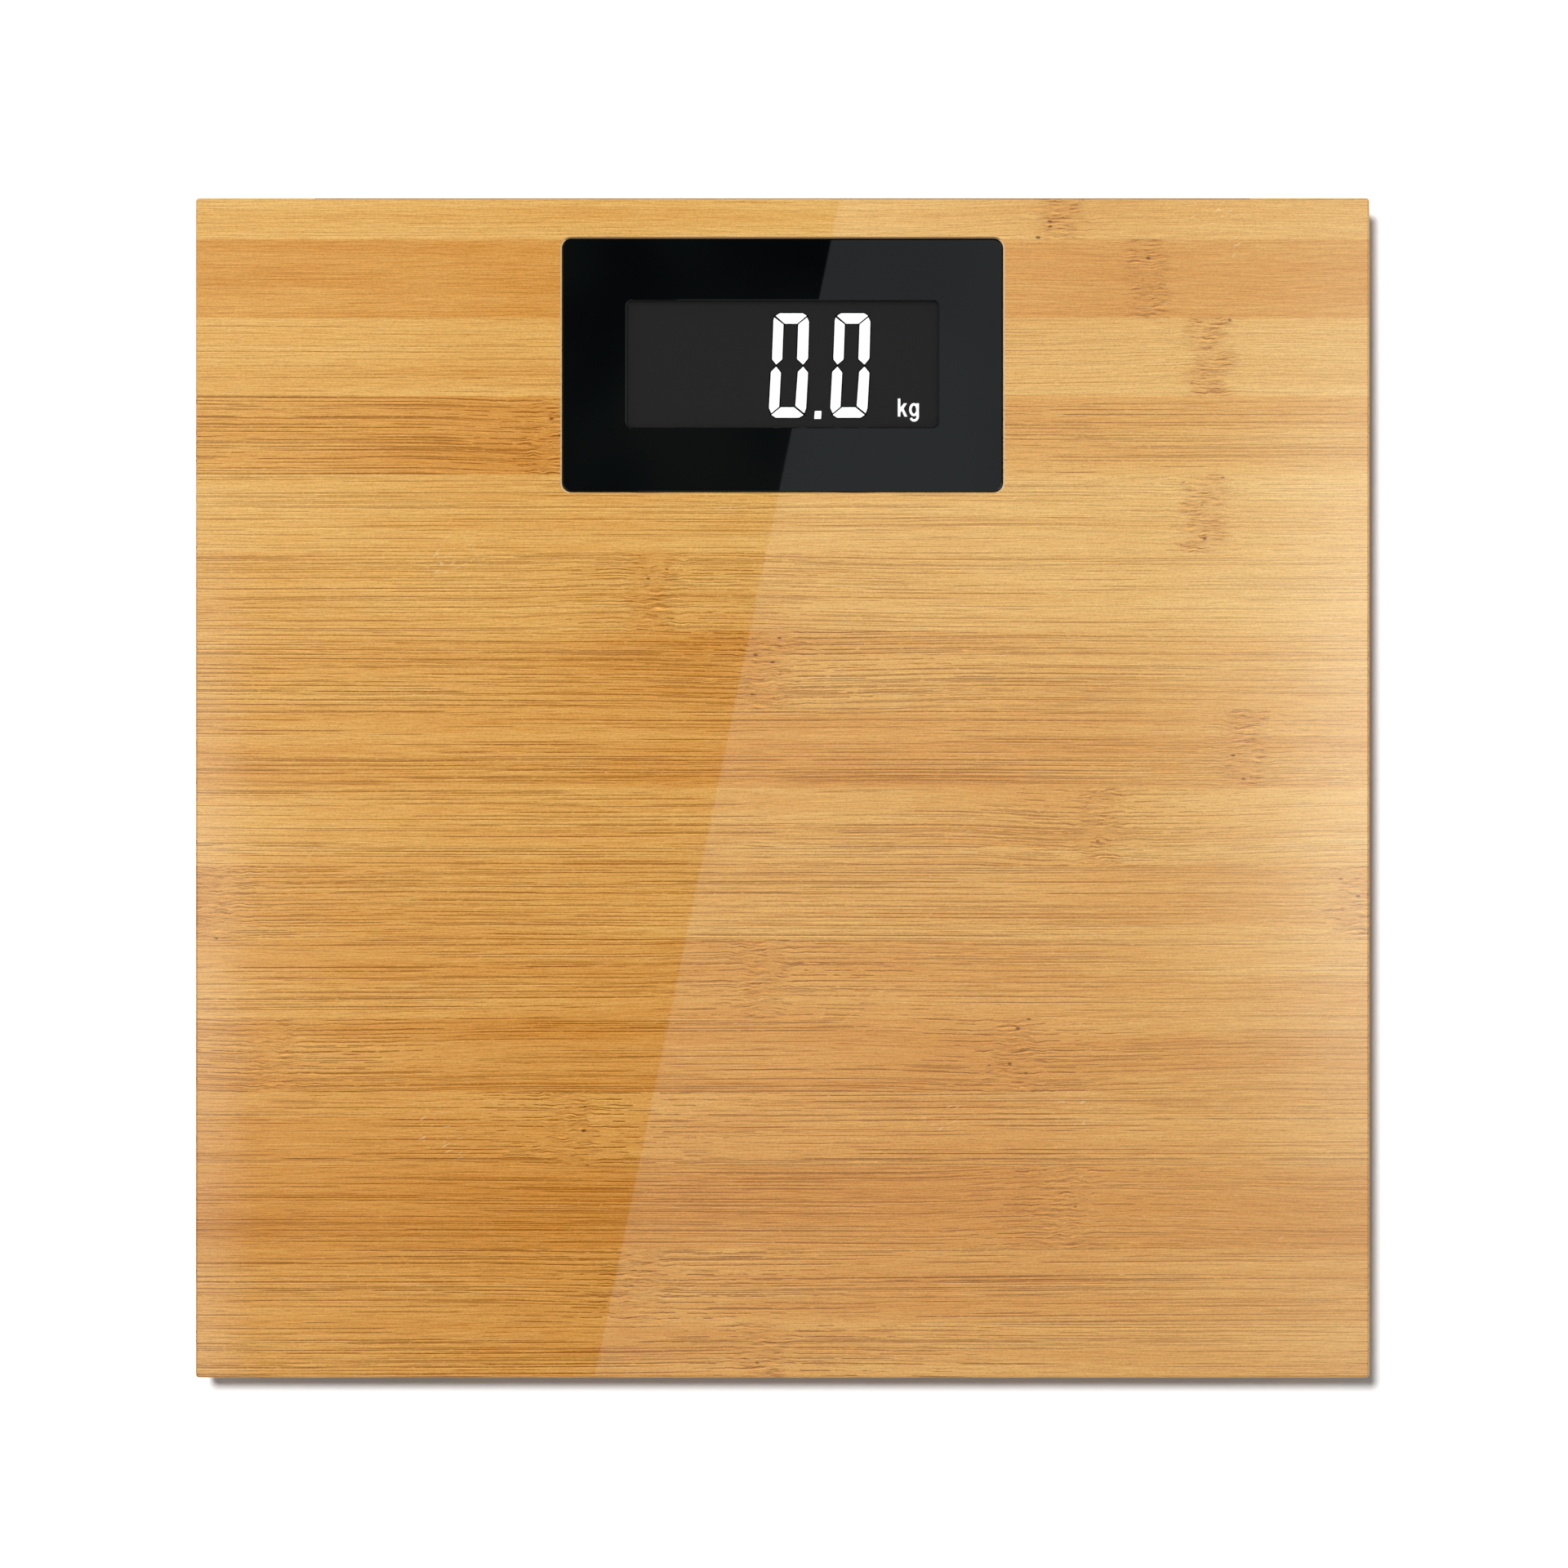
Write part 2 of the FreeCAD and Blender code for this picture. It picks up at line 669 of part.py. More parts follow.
def make_foot_screw(corner):
    body = turned_body(f"foot_screw_{CORNER_NAMES[corner]}", [
        ("0", "foot_screw_end"), ("foot_screw_shank", "foot_screw_end"),
        ("foot_screw_shank", "cell_bottom + cell_thickness"),
        ("foot_screw_head", "cell_bottom + cell_thickness"),
        ("foot_screw_head", "cell_bottom + cell_thickness + foot_screw_head_rise - 0.5"),
        ("foot_screw_head - 0.8", "cell_bottom + cell_thickness + foot_screw_head_rise"),
        ("0", "cell_bottom + cell_thickness + foot_screw_head_rise"),
    ])
    recess = start_sketch(body, "cross", "cell_bottom + cell_thickness + foot_screw_head_rise - cross_depth")
    draw_cross(recess, "0", "0")
    cut(body, recess, "cross_depth")
    stand_foot(body, corner)


def make_foot_housing_screws():
    make_screws("foot_housing_screws", foot_ear_places(), "foot_ring_top_wall - wood_screw_head_rise",
                "wood_screw_head_rise", "wood_screw_head", "wood_screw_shank", "wood_screw_end")


# --------------------------------------------------------------------------- screws in groups

def make_screws(name, places, head_bottom, head_rise, head_radius, shank_radius, shank_end):
    """Identical screws that go in from below, each a solid of its own."""
    body = start_body(name)
    heads = start_sketch(body, "heads", head_bottom)
    for x, y in places:
        draw_circle(heads, x, y, head_radius)
    pad(body, heads, head_rise)
    shanks = start_sketch(body, "shanks", f"{head_bottom} + {head_rise}")
    for x, y in places:
        draw_circle(shanks, x, y, shank_radius)
    pad(body, shanks, f"{shank_end} - {head_bottom} - {head_rise}")
    crosses = start_sketch(body, "crosses", head_bottom)
    for x, y in places:
        draw_cross(crosses, x, y)
    cut(body, crosses, "cross_depth")
    bottom = number(head_bottom)
    radius = number(head_radius)
    dress_edges(body, "Fillet", "cross_depth / 2",
                lambda edge: lies_at(edge, bottom) and abs(edge.Length - math.tau * radius) < 0.01)


# ------------------------------------------------------------------------------------- housing

def cover_screw_places(rows=("front", "rear")):
    return [(f"{side} * cover_screw_{row}_x", f"cover_screw_{row}") for row in rows for side in SIDES]


def circuit_screw_places():
    rows = ["circuit_screw_front", "circuit_screw_rear"]
    return [(f"{side} * circuit_screw_x", row) for row in rows for side in SIDES]


def draw_housing_outline(sketch, inset):
    draw_rounded_rectangle(sketch, f"-housing_half_width + {inset}", f"housing_front + {inset}",
                           f"housing_half_width - {inset}", f"housing_rear - {inset}",
                           f"(housing_corner - {inset})")


def draw_tower(sketch, inset):
    """The rounded rectangle inside the board's cut-out, set in by so much."""
    draw_rounded_rectangle(sketch, f"-window_width / 2 + {inset}", f"window_y - window_depth / 2 + {inset}",
                           f"window_width / 2 - {inset}", f"window_y + window_depth / 2 - {inset}",
                           f"(window_corner - {inset})")


def make_upper_housing():
    body = start_body("upper_housing")
    flange = start_sketch(body, "flange", "housing_split")
    draw_housing_outline(flange, "0")
    pad(body, flange, "board_bottom - housing_split")
    tower = start_sketch(body, "tower", "housing_split")
    draw_tower(tower, "tower_gap")
    pad(body, tower, "tower_top - housing_split")
    bay = start_sketch(body, "bay", "housing_split")
    draw_rectangle(bay, "-bay_half_length - bay_wall", "bay_front - bay_front_wall",
                   "bay_half_length + bay_wall",
                   "window_y - window_depth / 2 + tower_gap + tower_wall / 2")
    pad(body, bay, "bay_top - housing_split")
    bosses = start_sketch(body, "cover_bosses", "housing_split")
    for x, y in cover_screw_places(["front"]):
        draw_circle(bosses, x, y, "cover_boss")
    pad(body, bosses, "cover_boss_top - housing_split")

    cavity = start_sketch(body, "tower_cavity", "housing_split")
    draw_tower(cavity, "(tower_gap + tower_wall)")
    cut(body, cavity, "tower_top - tower_plate - housing_split")
    battery_space = start_sketch(body, "battery_space", "housing_split")
    draw_rectangle(battery_space, "-bay_half_length", "bay_front", "bay_half_length", "bay_rear")
    cut(body, battery_space, "bay_ceiling - housing_split")
    opening = start_sketch(body, "glass_opening", "tower_top - tower_plate")
    draw_rectangle(opening, "-glass_width / 2 - glass_gap", "view_y - glass_depth / 2 - glass_gap",
                   "glass_width / 2 + glass_gap", "view_y + glass_depth / 2 + glass_gap")
    cut(body, opening, "tower_plate")

    posts = start_sketch(body, "circuit_posts", "circuit_bottom + circuit_thickness")
    for x, y in circuit_screw_places():
        draw_circle(posts, x, y, "circuit_post")
    pad(body, posts, "tower_top - tower_plate - circuit_bottom - circuit_thickness")
    rear_bosses = start_sketch(body, "rear_bosses", "housing_split")
    for x, y in cover_screw_places(["rear"]):
        draw_circle(rear_bosses, x, y, "cover_boss")
    pad(body, rear_bosses, "tower_top - tower_plate - housing_split")

    pilots = start_sketch(body, "cover_pilots", "housing_split")
    for x, y in cover_screw_places():
        draw_circle(pilots, x, y, "cover_screw_shank + screw_pilot_gap")
    cut(body, pilots, "cover_screw_end + pilot_spare - housing_split")
    small_pilots = start_sketch(body, "circuit_pilots", "circuit_bottom + circuit_thickness")
    for x, y in circuit_screw_places():
        draw_circle(small_pilots, x, y, "circuit_screw_shank + screw_pilot_gap")
    cut(body, small_pilots, "circuit_screw_end + pilot_spare - circuit_bottom - circuit_thickness")
    holes = start_sketch(body, "wood_screw_holes", "housing_split")
    for x, y in wood_screw_places():
        draw_circle(holes, x, y, "wood_screw_shank + screw_clearance")
    cut(body, holes, "board_bottom - housing_split")
    for side in SIDES:
        for row in ("foot_y", "cable_bend_start + cable_bend"):
            notch = start_sketch(body, "cable_notch", "board_bottom")
            draw_rectangle(notch, f"{side} * (window_width / 2 - tower_gap - tower_wall - groove_lap)",
                           f"{row} - groove_half_width", f"{side} * (window_width / 2)",
                           f"{row} + groove_half_width")
            cut(body, notch, "groove_rise")


def make_lower_housing():
    body = start_body("lower_housing")
    outline = start_sketch(body, "shell", "housing_bottom")
    draw_housing_outline(outline, "0")
    pad(body, outline, "housing_split - housing_bottom")
    hollow = start_sketch(body, "hollow", "housing_bottom + housing_floor")
    draw_housing_outline(hollow, "housing_wall")
    cut(body, hollow, "housing_split - housing_bottom - housing_floor")

    opening = start_sketch(body, "door_opening", "housing_bottom")
    draw_rectangle(opening, "-door_half_width - door_gap", "door_front - door_gap",
                   "door_half_width + door_gap", "door_axis_y + door_barrel + door_barrel_gap")
    cut(body, opening, "housing_floor")

    floor_top = "housing_bottom + housing_floor"
    walls = start_sketch(body, "bay_sides", floor_top)
    for side in SIDES:
        draw_rectangle(walls, f"{side} * bay_half_length", "bay_front - bay_front_wall",
                       f"{side} * (bay_half_length + bay_wall + bay_wall_foot)", "bay_rear - cheek_lap")
    pad(body, walls, "housing_split - housing_bottom - housing_floor")
    front_wall = start_sketch(body, "bay_front_wall", "housing_bottom + housing_floor + door_gap")
    draw_rectangle(front_wall, "-bay_half_length - bay_wall", "bay_front - bay_front_wall",
                   "bay_half_length + bay_wall", "bay_front")
    pad(body, front_wall, "housing_split - housing_bottom - housing_floor - door_gap")
    rear_wall = start_sketch(body, "bay_rear_wall", "rear_wall_bottom")
    draw_rectangle(rear_wall, "-bay_half_length - bay_wall - bay_wall_foot", "bay_rear",
                   "bay_half_length + bay_wall + bay_wall_foot", "bay_rear + bay_wall")
    pad(body, rear_wall, "housing_split - rear_wall_bottom")
    cheeks = start_sketch(body, "hinge_cheeks", "housing_bottom")
    for side in SIDES:
        draw_rectangle(cheeks, f"{side} * (door_half_width + door_gap)", "bay_rear - cheek_lap",
                       f"{side} * (door_half_width + door_gap + cheek_width)",
                       "door_axis_y + cheek_half_depth")
    pad(body, cheeks, "housing_split - housing_bottom")
    posts = start_sketch(body, "cover_posts", "housing_bottom")
    for x, y in cover_screw_places():
        draw_circle(posts, x, y, "cover_post")
    pad(body, posts, "housing_split - housing_bottom")

    counterbores = start_sketch(body, "counterbores", "housing_bottom")
    for x, y in cover_screw_places():
        draw_circle(counterbores, x, y, "cover_counterbore")
    cut(body, counterbores, "cover_counterbore_top - housing_bottom")
    holes = start_sketch(body, "cover_holes", "cover_counterbore_top")
    for x, y in cover_screw_places():
        draw_circle(holes, x, y, "cover_screw_shank + screw_clearance")
    cut(body, holes, "housing_split - cover_counterbore_top")
    button_hole = start_sketch(body, "button_hole", "housing_bottom")
    draw_circle(button_hole, "button_x", "button_y", "button_hole")
    cut(body, button_hole, "housing_floor")
    notch = start_sketch(body, "latch_notch", "housing_bottom + housing_floor")
    draw_rectangle(notch, "-latch_half_width - door_gap", "bay_front - bay_front_wall",
                   "latch_half_width + door_gap", "bay_front")
    cut(body, notch, "latch_notch_top - housing_bottom - housing_floor")
    tab_slots = start_sketch(body, "tab_slots", "tab_bottom - tab_slot")
    for row in ("battery_front_y", "battery_rear_y"):
        draw_rectangle(tab_slots, "bay_half_length", f"{row} - tab_half_width - tab_slot",
                       "bay_half_length + bay_wall + bay_wall_foot", f"{row} + tab_half_width + tab_slot")
    cut(body, tab_slots, "housing_split - tab_bottom + tab_slot")
    pin_holes = start_sketch(body, "pin_holes", "-door_half_width - door_pin_reach - pilot_spare", "YZ_Plane")
    draw_circle(pin_holes, "door_axis_y", "door_axis_z", "door_pin_radius + door_pin_gap")
    cut(body, pin_holes, "2 * (door_half_width + door_pin_reach + pilot_spare)")

    bottom = number("housing_bottom")
    half_width = number("housing_half_width")
    half_depth = number("(housing_rear - housing_front) / 2")
    middle_y = number("(housing_rear + housing_front) / 2")
    corner_reach = number("housing_corner") + 0.1

    def on_rim(edge):
        return lies_at(edge, bottom) and reaches(edge, half_width - corner_reach, half_depth - corner_reach,
                                                 middle_y)

    dress_edges(body, "Fillet", "housing_edge_round", on_rim)


def make_battery_door():
    body = start_body("battery_door")
    plate = start_sketch(body, "plate", "housing_bottom")
    draw_rectangle(plate, "-door_half_width", "door_front", "door_half_width", "door_axis_y")
    pad(body, plate, "housing_floor")
    barrel = start_sketch(body, "barrel", "-door_half_width", "YZ_Plane")
    draw_circle(barrel, "door_axis_y", "door_axis_z", "door_barrel")
    pad(body, barrel, "2 * door_half_width")
    pins = start_sketch(body, "pins", "-door_half_width - door_pin_reach", "YZ_Plane")
    draw_circle(pins, "door_axis_y", "door_axis_z", "door_pin_radius")
    pad(body, pins, "2 * (door_half_width + door_pin_reach)")
    latch = start_sketch(body, "latch", "housing_bottom + housing_floor")
    draw_rectangle(latch, "-latch_half_width", "latch_front", "latch_half_width",
                   "latch_front + latch_thickness")
    pad(body, latch, "latch_top - housing_bottom - housing_floor")
    nose = start_sketch(body, "latch_nose", "latch_nose_bottom")
    draw_rectangle(nose, "-latch_nose_half_width", "latch_front - latch_nose", "latch_nose_half_width",
                   "latch_front")
    pad(body, nose, "latch_nose_rise")
    grips = start_sketch(body, "grips", "housing_bottom")
    for rank in range(4):
        front = f"(grip_front + {rank} * grip_pitch)"
        draw_rectangle(grips, "-grip_half_width", front, "grip_half_width", f"{front} + grip_width")
    cut(body, grips, "grip_depth")


def make_unit_button():
    body = turned_body("unit_button", [
        ("0", "button_bottom + button_dish_depth"), ("button_dish", "button_bottom + button_dish_depth"),
        ("button_dish + 0.4", "button_bottom"), ("button_radius - 0.3", "button_bottom"),
        ("button_radius", "button_bottom + 0.3"), ("button_radius", "housing_bottom + housing_floor"),
        ("button_flange", "housing_bottom + housing_floor"),
        ("button_flange", "housing_bottom + housing_floor + button_flange_rise"),
        ("button_stem", "housing_bottom + housing_floor + button_flange_rise"),
        ("button_stem", "plunger_bottom"), ("0", "plunger_bottom"),
    ])
    stand_at(body, "button_x", "button_y")


# ------------------------------------------------------------------------------------- display

def make_bezel():
    body = start_body("bezel")
    outline = start_sketch(body, "plate", "bezel_bottom")
    draw_rounded_rectangle(outline, "-window_width / 2 + bezel_gap",
                           "window_y - window_depth / 2 + bezel_gap",
                           "window_width / 2 - bezel_gap", "window_y + window_depth / 2 - bezel_gap",
                           "(window_corner - bezel_gap)")
    pad(body, outline, "bezel_thickness")
    view = start_sketch(body, "view", "bezel_bottom")
    draw_rounded_rectangle(view, "-view_width / 2", "view_y - view_depth / 2", "view_width / 2",
                           "view_y + view_depth / 2", "view_corner")
    cut(body, view, "bezel_thickness")


def make_bezel_gasket():
    body = start_body("bezel_gasket")
    outline = start_sketch(body, "tape", "tower_top")
    draw_tower(outline, "tower_gap")
    pad(body, outline, "bezel_bottom - tower_top")
    inside = start_sketch(body, "inside", "tower_top")
    draw_rectangle(inside, "-gasket_inside_width / 2", "view_y - gasket_inside_depth / 2",
                   "gasket_inside_width / 2", "view_y + gasket_inside_depth / 2")
    cut(body, inside, "bezel_bottom - tower_top")


def make_lcd_glass():
    body = start_body("lcd_glass")
    for name, level, front in (
        ("front_glass", "bezel_bottom - glass_thickness", "view_y - glass_depth / 2"),
        ("back_glass", "bezel_bottom - 2 * glass_thickness", "view_y - glass_depth / 2 + glass_ledge"),
    ):
        sheet_of_glass = start_sketch(body, name, level)
        draw_rectangle(sheet_of_glass, "-glass_width / 2", front, "glass_width / 2",
                       "view_y + glass_depth / 2")
        pad(body, sheet_of_glass, "glass_thickness")


def make_backlight():
    body = start_body("backlight")
    block = start_sketch(body, "light_guide", "circuit_bottom + circuit_thickness")
    draw_rectangle(block, "-glass_width / 2", "view_y - glass_depth / 2 + glass_ledge", "glass_width / 2",
                   "view_y + glass_depth / 2")
    pad(body, block, "bezel_bottom - 2 * glass_thickness - circuit_bottom - circuit_thickness")


def make_zebra_strip():
    body = start_body("zebra_strip")
    strip = start_sketch(body, "strip", "circuit_bottom + circuit_thickness")
    draw_rectangle(strip, "-zebra_width / 2", "view_y - glass_depth / 2 + zebra_inset", "zebra_width / 2",
                   "view_y - glass_depth / 2 + zebra_inset + zebra_depth")
    pad(body, strip, "bezel_bottom - glass_thickness - circuit_bottom - circuit_thickness")


def make_main_board():
    body = start_body("main_board")
    outline = start_sketch(body, "outline", "circuit_bottom")
    draw_rectangle(outline, "-circuit_half_width", "circuit_front", "circuit_half_width", "circuit_rear")
    pad(body, outline, "circuit_thickness")
    holes = start_sketch(body, "screw_holes", "circuit_bottom")
    for x, y in circuit_screw_places():
        draw_circle(holes, x, y, "circuit_screw_shank + screw_clearance")
    cut(body, holes, "circuit_thickness")


def make_chip_blob():
    cap = doc.addObject("Part::Sphere", "chip_blob")
    cap.Label = "chip_blob"
    cap.setExpression("Radius", bound("blob_radius"))
    cap.Angle1 = -90
    cap.setExpression("Angle2", f"-asin(({bound('blob_radius - blob_rise')}) / {bound('blob_radius')})")
    stand_at(cap, "blob_x", "blob_y", "circuit_bottom + blob_radius - blob_rise")
    subparts.append(cap)


def make_board_components():
    """Crystal, capacitors, resistors and the light's driver, on the underside of the main board."""
    body = start_body("board_components")
    parts = [
        ("crystal", -34.0, 96.0, 8.0, 3.2, 2.6),
        ("large_capacitor", -34.0, 116.0, 6.4, 6.4, 3.2),
        ("driver", 8.0, 118.0, 5.0, 6.0, 1.5),
        ("regulator", 20.0, 90.0, 3.0, 3.0, 1.1),
    ]
    parts += [(f"small_capacitor_{rank}", -30.0 + 5.0 * rank, 88.0, 2.0, 1.25, 0.8) for rank in range(5)]
    parts += [(f"resistor_{rank}", 14.0 + 4.0 * rank, 124.0, 2.0, 1.25, 0.5) for rank in range(5)]
    for name, x, y, width, depth, rise in parts:
        outline = start_sketch(body, name, f"circuit_bottom - {rise}")
        left, front = x - width / 2, y - depth / 2
        draw_rectangle(outline, f"{left}", f"{front}", f"{left + width}", f"{front + depth}")
        pad(body, outline, rise)


def make_sensor_connectors():
    body = start_body("sensor_connectors")
    outline = start_sketch(body, "blocks", "circuit_bottom + circuit_thickness")
    for side in SIDES:
        for row in ("foot_y", "cable_bend_start + cable_bend"):
            draw_rectangle(outline, f"{side} * connector_inner", f"{row} - connector_half_depth",
                           f"{side} * connector_outer", f"{row} + connector_half_depth")
    pad(body, outline, "connector_rise")


def make_tact_switch():
    body = start_body("tact_switch")
    outline = start_sketch(body, "case", "switch_bottom")
    draw_rectangle(outline, "button_x - switch_size / 2", "button_y - switch_size / 2",
                   "button_x + switch_size / 2", "button_y + switch_size / 2")
    pad(body, outline, "circuit_bottom - switch_bottom")
    bore = start_sketch(body, "bore", "switch_bottom")
    draw_circle(bore, "button_x", "button_y", "switch_bore")
    cut(body, bore, "switch_bore_top - switch_bottom")


def make_switch_plunger():
    body = start_body("switch_plunger")
    outline = start_sketch(body, "pin", "plunger_bottom")
    draw_circle(outline, "button_x", "button_y", "plunger_radius")
    pad(body, outline, "plunger_top - plunger_bottom")


# ----------------------------------------------------------------------- batteries and contacts

def make_battery(name, row, positive_side):
    """A cell that lies along X, its positive end against the contact plate on that side."""
    length, nub = "battery_length", "battery_nub"
    body = turned_body(name, [
        ("0", "0"), ("battery_radius - 1.2", "0"), ("battery_radius - 1.0", "0.4"),
        ("battery_radius - 0.3", "0.4"), ("battery_radius", "0.7"),
        ("battery_radius", f"{length} - {nub} - 0.5"), ("battery_radius - 0.5", f"{length} - {nub}"),
        ("battery_nub_radius", f"{length} - {nub}"), ("battery_nub_radius", f"{length} - 0.2"),
        ("battery_nub_radius - 0.2", length), ("0", length),
    ])
    lying = FreeCAD.Rotation(FreeCAD.Vector(0, 1, 0), 90 * positive_side)
    body.Placement = FreeCAD.Placement(FreeCAD.Vector(), lying)
    inner = "(bay_half_length - contact_thickness - battery_length)"
    body.setExpression("Placement.Base.x", bound(f"{positive_side} * {inner}"))
    body.setExpression("Placement.Base.y", bound(row))
    body.setExpression("Placement.Base.z", bound("battery_level"))


def contact_plate(side, near_row, far_row, with_tab_at=None):
    """A sprung-steel plate against a bay end wall, from one cell's row to another's."""
    wall = side * number("bay_half_length")
    face = side * number("bay_half_length - contact_thickness")
    half_width = number("contact_half_width")
    low, high = sorted((wall, face))
    front = min(number(near_row), number(far_row)) - half_width
    rear = max(number(near_row), number(far_row)) + half_width
    height = number("contact_top - contact_bottom")
    corner = FreeCAD.Vector(low, front, number("contact_bottom"))
    plate = Part.makeBox(high - low, rear - front, height, corner)
    if with_tab_at:
        reach = number("tab_end") - number("bay_half_length - contact_thickness")
        tab_corner = FreeCAD.Vector(low, number(with_tab_at) - number("tab_half_width"), number("tab_bottom"))
        tab = Part.makeBox(reach, number("2 * tab_half_width"), number("tab_top - tab_bottom"), tab_corner)
        plate = plate.fuse(tab)
    return plate


def contact_spring(side, row):
    """A conical spring that leans from the contact plate on the flat end of a cell."""
    wire = number("spring_wire")
    room = number("2 * (bay_half_length - contact_thickness) - battery_length")
    height = room - 2 * wire
    pitch = height / number("spring_turns")
    helix = Part.makeHelix(pitch, height, number("spring_wide"), -18)
    edge = helix.Edges[0]
    start = edge.valueAt(edge.FirstParameter)
    section = Part.Wire([Part.Circle(start, edge.tangentAt(edge.FirstParameter), wire).toShape()])
    coil = Part.Wire(helix.Edges).makePipeShell([section], True, True)
    plate_face = side * number("bay_half_length - contact_thickness")
    base = FreeCAD.Vector(plate_face - side * wire * 0.9, number(row), number("battery_level"))
    coil.Placement = FreeCAD.Placement(base, FreeCAD.Rotation(FreeCAD.Vector(0, 1, 0), -90 * side))
    return coil


def make_contacts():
    front, rear = "battery_front_y", "battery_rear_y"
    bridge = contact_plate(-1, front, rear).fuse(contact_spring(-1, front))
    add_feature("contact_bridge", bridge)
    add_feature("contact_positive", contact_plate(1, front, front, front))
    negative = contact_plate(1, rear, rear, rear).fuse(contact_spring(1, rear))
    add_feature("contact_negative", negative)


def make_battery_wires():
    level = number("(tab_bottom + tab_top) / 2")
    for name, row, turn_x in (
        ("battery_wire_positive", "battery_front_y", "wire_positive_x"),
        ("battery_wire_negative", "battery_rear_y", "wire_negative_x"),
    ):
        corner_x = number(turn_x)
        points = [
            FreeCAD.Vector(number("tab_end"), number(row), level),
            FreeCAD.Vector(corner_x, number(row), level),
            FreeCAD.Vector(corner_x, number("wire_end_y"), level),
            FreeCAD.Vector(corner_x, number("wire_end_y"), number("circuit_bottom")),
        ]
        first = min(number("wire_bend"), 0.9 * (corner_x - number("tab_end")))
        tube(name, points, [first, number("wire_last_bend")], number("wire_radius"))


# ------------------------------------------------------------------------------- sensor cables

def make_sensor_cables():
    level, gauge_top = number("cable_level"), number("gauge_top")
    foot_x, foot_y, gauge_y = number("foot_x"), number("foot_y"), number("gauge_y")
    end_x = number("connector_outer")
    exit_bend, bend = number("cable_exit_bend"), number("cable_bend")
    turn_y = number("cable_bend_start + cable_bend")
    for side in SIDES:
        rear_start = side * (foot_x - gauge_y)
        tube(f"sensor_cable_{CORNER_NAMES[(side, 1)]}", [
            FreeCAD.Vector(rear_start, foot_y, gauge_top),
            FreeCAD.Vector(rear_start, foot_y, level),
            FreeCAD.Vector(side * end_x, foot_y, level),
        ], [exit_bend], number("cable_radius"))
        tube(f"sensor_cable_{CORNER_NAMES[(side, -1)]}", [
            FreeCAD.Vector(side * foot_x, gauge_y - foot_y, gauge_top),
            FreeCAD.Vector(side * foot_x, gauge_y - foot_y, level),
            FreeCAD.Vector(side * foot_x, turn_y, level),
            FreeCAD.Vector(side * end_x, turn_y, level),
        ], [exit_bend, bend], number("cable_radius"))


def make_cable_covers():
    near_foot = "(foot_ring_radius + strip_gap)"
    near_housing = "(housing_half_width + strip_gap)"
    for side in SIDES:
        rear = start_body(f"cable_cover_{CORNER_NAMES[(side, 1)]}")
        outline = start_sketch(rear, "strip", "board_bottom - strip_thickness")
        draw_rectangle(outline, f"{side} * {near_housing}", "foot_y - strip_half_width",
                       f"{side} * (foot_x - {near_foot})", "foot_y + strip_half_width")
        pad(rear, outline, "strip_thickness")
        front = start_body(f"cable_cover_{CORNER_NAMES[(side, -1)]}")
        outline = start_sketch(front, "strip", "board_bottom - strip_thickness")
        bend_band(outline, side, "strip_half_width", f"{near_foot} - foot_y", near_housing)
        pad(front, outline, "strip_thickness")


# ------------------------------------------------------------------------------------ build it

def check_and_write():
    doc.recompute()
    failed = [item.Name for item in doc.Objects if {"Invalid", "Error"} & set(item.State)]
    if failed:
        raise RuntimeError(f"objects that failed: {failed}")
    os.makedirs(PARTS_FOLDER, exist_ok=True)
    for subpart in subparts:
        shape = subpart.Shape
        if shape.isNull() or not shape.isValid():
            raise RuntimeError(f"{subpart.Label} has no valid shape")
        shape.exportStep(os.path.join(PARTS_FOLDER, f"{subpart.Label}.step"))
    print(f"{len(subparts)} sub-parts written")


make_platform()
for corner in CORNERS:
    make_foot_housing(corner)
    make_load_cell(corner)
    make_strain_gauge(corner)
    make_foot_cup(corner)
    make_foot_pad(corner)
    make_foot_screw(corner)
make_foot_housing_screws()
make_upper_housing()
make_lower_housing()
make_screws("housing_screws", wood_screw_places(), "housing_split - wood_screw_head_rise",
            "wood_screw_head_rise", "wood_screw_head", "wood_screw_shank", "wood_screw_end")
make_screws("cover_screws", cover_screw_places(), "cover_counterbore_top - cover_screw_head_rise",
            "cover_screw_head_rise", "cover_screw_head", "cover_screw_shank", "cover_screw_end")
make_screws("board_screws", circuit_screw_places(), "circuit_bottom - circuit_screw_head_rise",
            "circuit_screw_head_rise", "circuit_screw_head", "circuit_screw_shank", "circuit_screw_end")
make_battery_door()
make_unit_button()
make_bezel()
make_bezel_gasket()
make_lcd_glass()
make_backlight()
make_zebra_strip()
make_main_board()
make_chip_blob()
make_board_components()
make_sensor_connectors()
make_tact_switch()
make_switch_plunger()
make_battery("battery_front", "battery_front_y", 1)
make_battery("battery_rear", "battery_rear_y", -1)
make_contacts()
make_battery_wires()
make_sensor_cables()
make_cable_covers()
check_and_write()
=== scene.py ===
import json
import math

